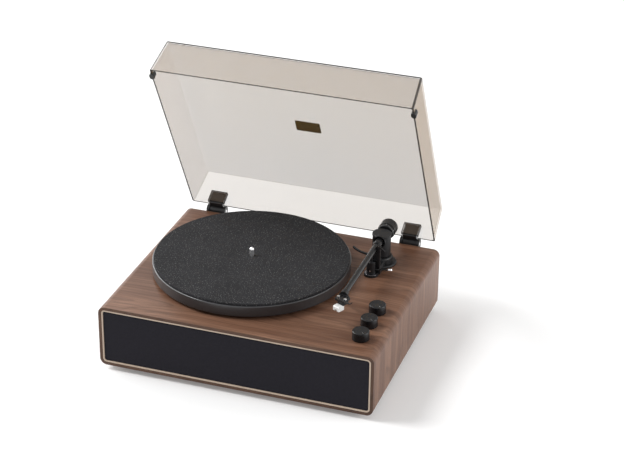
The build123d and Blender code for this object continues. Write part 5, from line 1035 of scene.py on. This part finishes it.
class PLAYER_OT_inside(bpy.types.Operator):
    """Loudspeakers, circuit board and rear connectors"""

    bl_idname = "player.inside"
    bl_label = "Loudspeakers and connectors"

    def execute(self, context):
        sizes, tints = context.scene.player_sizes, context.scene.player_colours
        gilt = finish("gilt_metal", (0.72, 0.47, 0.16), rough=0.22, metal=1.0, amount=0.1)
        finishes = (
            ("speaker_frames", finish("frame_paint", (0.02, 0.02, 0.02), rough=0.4, metal=0.4), MOULDED_EDGE),
            ("speaker_magnets", finish("ferrite", (0.05, 0.05, 0.052), rough=0.55, metal=0.6), MOULDED_EDGE),
            ("speaker_cones", finish("cone_paper", (0.016, 0.016, 0.018), rough=0.8, grain=PAPER_GRAIN), 0.0),
            ("circuit_board", finish("circuit_green", (0.02, 0.11, 0.04), rough=0.35, coat=0.5), FINE_EDGE),
            ("jack_plate", arm_moulding(tints), MOULDED_EDGE),
            ("small_sockets", arm_moulding(tints), MOULDED_EDGE),
            ("rca_jacks", gilt, FINE_EDGE),
        )
        for name, material, bevel in finishes:
            dress([name], material, bevel)
        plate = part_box("jack_plate")[1].y
        sockets = sorted(solids("rca_jacks"), key=lambda box: box[0].x)
        height = sizes.collar_height
        for (name, shade), (low, high) in zip(COLLARS, sockets):
            inner = (high.x - low.x) / 2 + COLLAR_GAP
            outer = inner + sizes.collar
            profile = [(inner, 0.0), (inner, height), (outer - COLLAR_BEVEL, height)]
            profile += [(outer, height - COLLAR_BEVEL), (outer, 0.0), (inner, 0.0)]
            x, z = (low.x + high.x) / 2, (low.z + high.z) / 2
            turns = [2 * math.pi * step / COLLAR_STEPS for step in range(COLLAR_STEPS)]
            vertices = [
                (x + radius * math.cos(a), plate + rise, z - radius * math.sin(a))
                for radius, rise in profile for a in turns
            ]
            faces = ring_faces(len(profile), COLLAR_STEPS)
            paint = finish(f"collar_{name}", shade, rough=0.35)
            piece(f"{name}_collar", "cabinet", paint, vertices, faces)
        return {"FINISHED"}


# Stage


class PLAYER_OT_stage(bpy.types.Operator):
    """Pale floor, soft light and the camera at the photograph's angle"""

    bl_idname = "player.stage"
    bl_label = "Stage"

    def execute(self, context):
        scene = context.scene
        values = scene.player_stage
        self.floor(scene, values)
        self.lights(scene, values)
        camera = bpy.data.objects.new("camera", bpy.data.cameras.new("camera"))
        scene.collection.objects.link(camera)
        camera.data.lens = values.lens
        camera.data.sensor_width = SENSOR_WIDTH
        camera.data.clip_end = FARTHEST_SEEN
        camera.location = values.place
        sight = Vector(values.aim) - Vector(values.place)
        camera.rotation_mode = "QUATERNION"
        camera.rotation_quaternion = sight.to_track_quat("-Z", "Y") @ Quaternion((0, 0, 1), values.roll)
        scene.camera = camera
        scene.view_settings.view_transform = "Standard"
        return {"FINISHED"}

    def floor(self, scene, values):
        """White floor that keeps the shadow, lifted a little for the camera and for reflections."""
        mesh = bpy.data.meshes.new("floor")
        corner = FLOOR_HALF
        places = [(-corner, -corner, 0), (corner, -corner, 0), (corner, corner, 0), (-corner, corner, 0)]
        mesh.from_pydata(places, [], [(0, 1, 2, 3)])
        made = bpy.data.objects.new("floor", mesh)
        scene.collection.objects.link(made)
        paint, tree, shader = new_material("floor_paint")[:3]
        constants(shader, Base_Color=(0.86, 0.86, 0.86, 1.0), Roughness=0.9, Specular_IOR_Level=0.1)
        seen = self.looked_at(tree)
        glow = node(tree, "ShaderNodeEmission", Color=(1.0, 1.0, 1.0, 1.0))
        wire(tree, maths(tree, "MULTIPLY", seen, values.glow), glow.inputs["Strength"])
        total = node(tree, "ShaderNodeAddShader", i0=shader, i1=glow)
        wire(tree, total, tree.nodes["Material Output"].inputs["Surface"])
        mesh.materials.append(paint)

    def looked_at(self, tree):
        """1 where the surface is seen straight, in a gloss or through a clear piece."""
        path = tree.nodes.new("ShaderNodeLightPath").outputs
        seen = maths(tree, "ADD", path["Is Camera Ray"], path["Is Glossy Ray"], clamp=True)
        return maths(tree, "ADD", seen, path["Is Transmission Ray"], clamp=True)

    def lights(self, scene, values):
        """Even light from all round, a soft key from the upper left, and three area lamps."""
        world = bpy.data.worlds.new("studio")
        scene.world = world
        world.use_nodes = True
        tree = world.node_tree
        sky = tree.nodes["Background"]
        sky.inputs["Color"].default_value = (1.0, 1.0, 1.0, 1.0)
        seen = maths(tree, "MULTIPLY", self.looked_at(tree), 1.0 - values.sky)
        wire(tree, maths(tree, "ADD", seen, values.sky), sky.inputs["Strength"])
        sun = bpy.data.lights.new("key", "SUN")
        sun.energy = values.key
        sun.angle = KEY_ANGLE
        self.place_light(scene, sun, Vector(KEY_PLACE), Vector(KEY_AIM))
        for name, width, height, power, place, aim in LAMPS:
            lamp = bpy.data.lights.new(name, "AREA")
            lamp.shape = "RECTANGLE"
            lamp.size, lamp.size_y = width, height
            lamp.energy = power
            self.place_light(scene, lamp, Vector(place), Vector(aim))

    def place_light(self, scene, data, place, aim):
        made = bpy.data.objects.new(data.name, data)
        scene.collection.objects.link(made)
        made.location = place
        made.rotation_mode = "QUATERNION"
        made.rotation_quaternion = (aim - place).to_track_quat("-Z", "Y")


class PLAYER_PT_panel(bpy.types.Panel):
    """Lists the steps and the values they use"""

    bl_label = "Record player"
    bl_idname = "PLAYER_PT_panel"
    bl_space_type = "VIEW_3D"
    bl_region_type = "UI"
    bl_category = "Record player"

    def draw(self, context):
        scene = context.scene
        for values in (scene.player_sizes, scene.player_colours, scene.player_stage):
            box = self.layout.box()
            for name in values.__annotations__:
                box.prop(values, name)
        for step in STEPS:
            self.layout.operator(step.bl_idname)


STEPS = (
    PLAYER_OT_stage,
    PLAYER_OT_cabinet,
    PLAYER_OT_grille,
    PLAYER_OT_platter,
    PLAYER_OT_knobs,
    PLAYER_OT_cover,
    PLAYER_OT_tonearm,
    PLAYER_OT_inside,
)
CLASSES = (PlayerSizes, PlayerColours, PlayerStage, *STEPS, PLAYER_PT_panel)


def register():
    for made in CLASSES:
        bpy.utils.register_class(made)
    bpy.types.Scene.player_sizes = PointerProperty(type=PlayerSizes)
    bpy.types.Scene.player_colours = PointerProperty(type=PlayerColours)
    bpy.types.Scene.player_stage = PointerProperty(type=PlayerStage)


def unregister():
    del bpy.types.Scene.player_stage
    del bpy.types.Scene.player_colours
    del bpy.types.Scene.player_sizes
    for made in reversed(CLASSES):
        bpy.utils.unregister_class(made)


def main():
    register()
    bpy.ops.player.stage()
    bpy.ops.player.cabinet()
    bpy.ops.player.grille()
    bpy.ops.player.platter()
    bpy.ops.player.knobs()
    bpy.ops.player.cover()
    bpy.ops.player.tonearm()
    bpy.ops.player.inside()


if __name__ == "__main__":
    main()
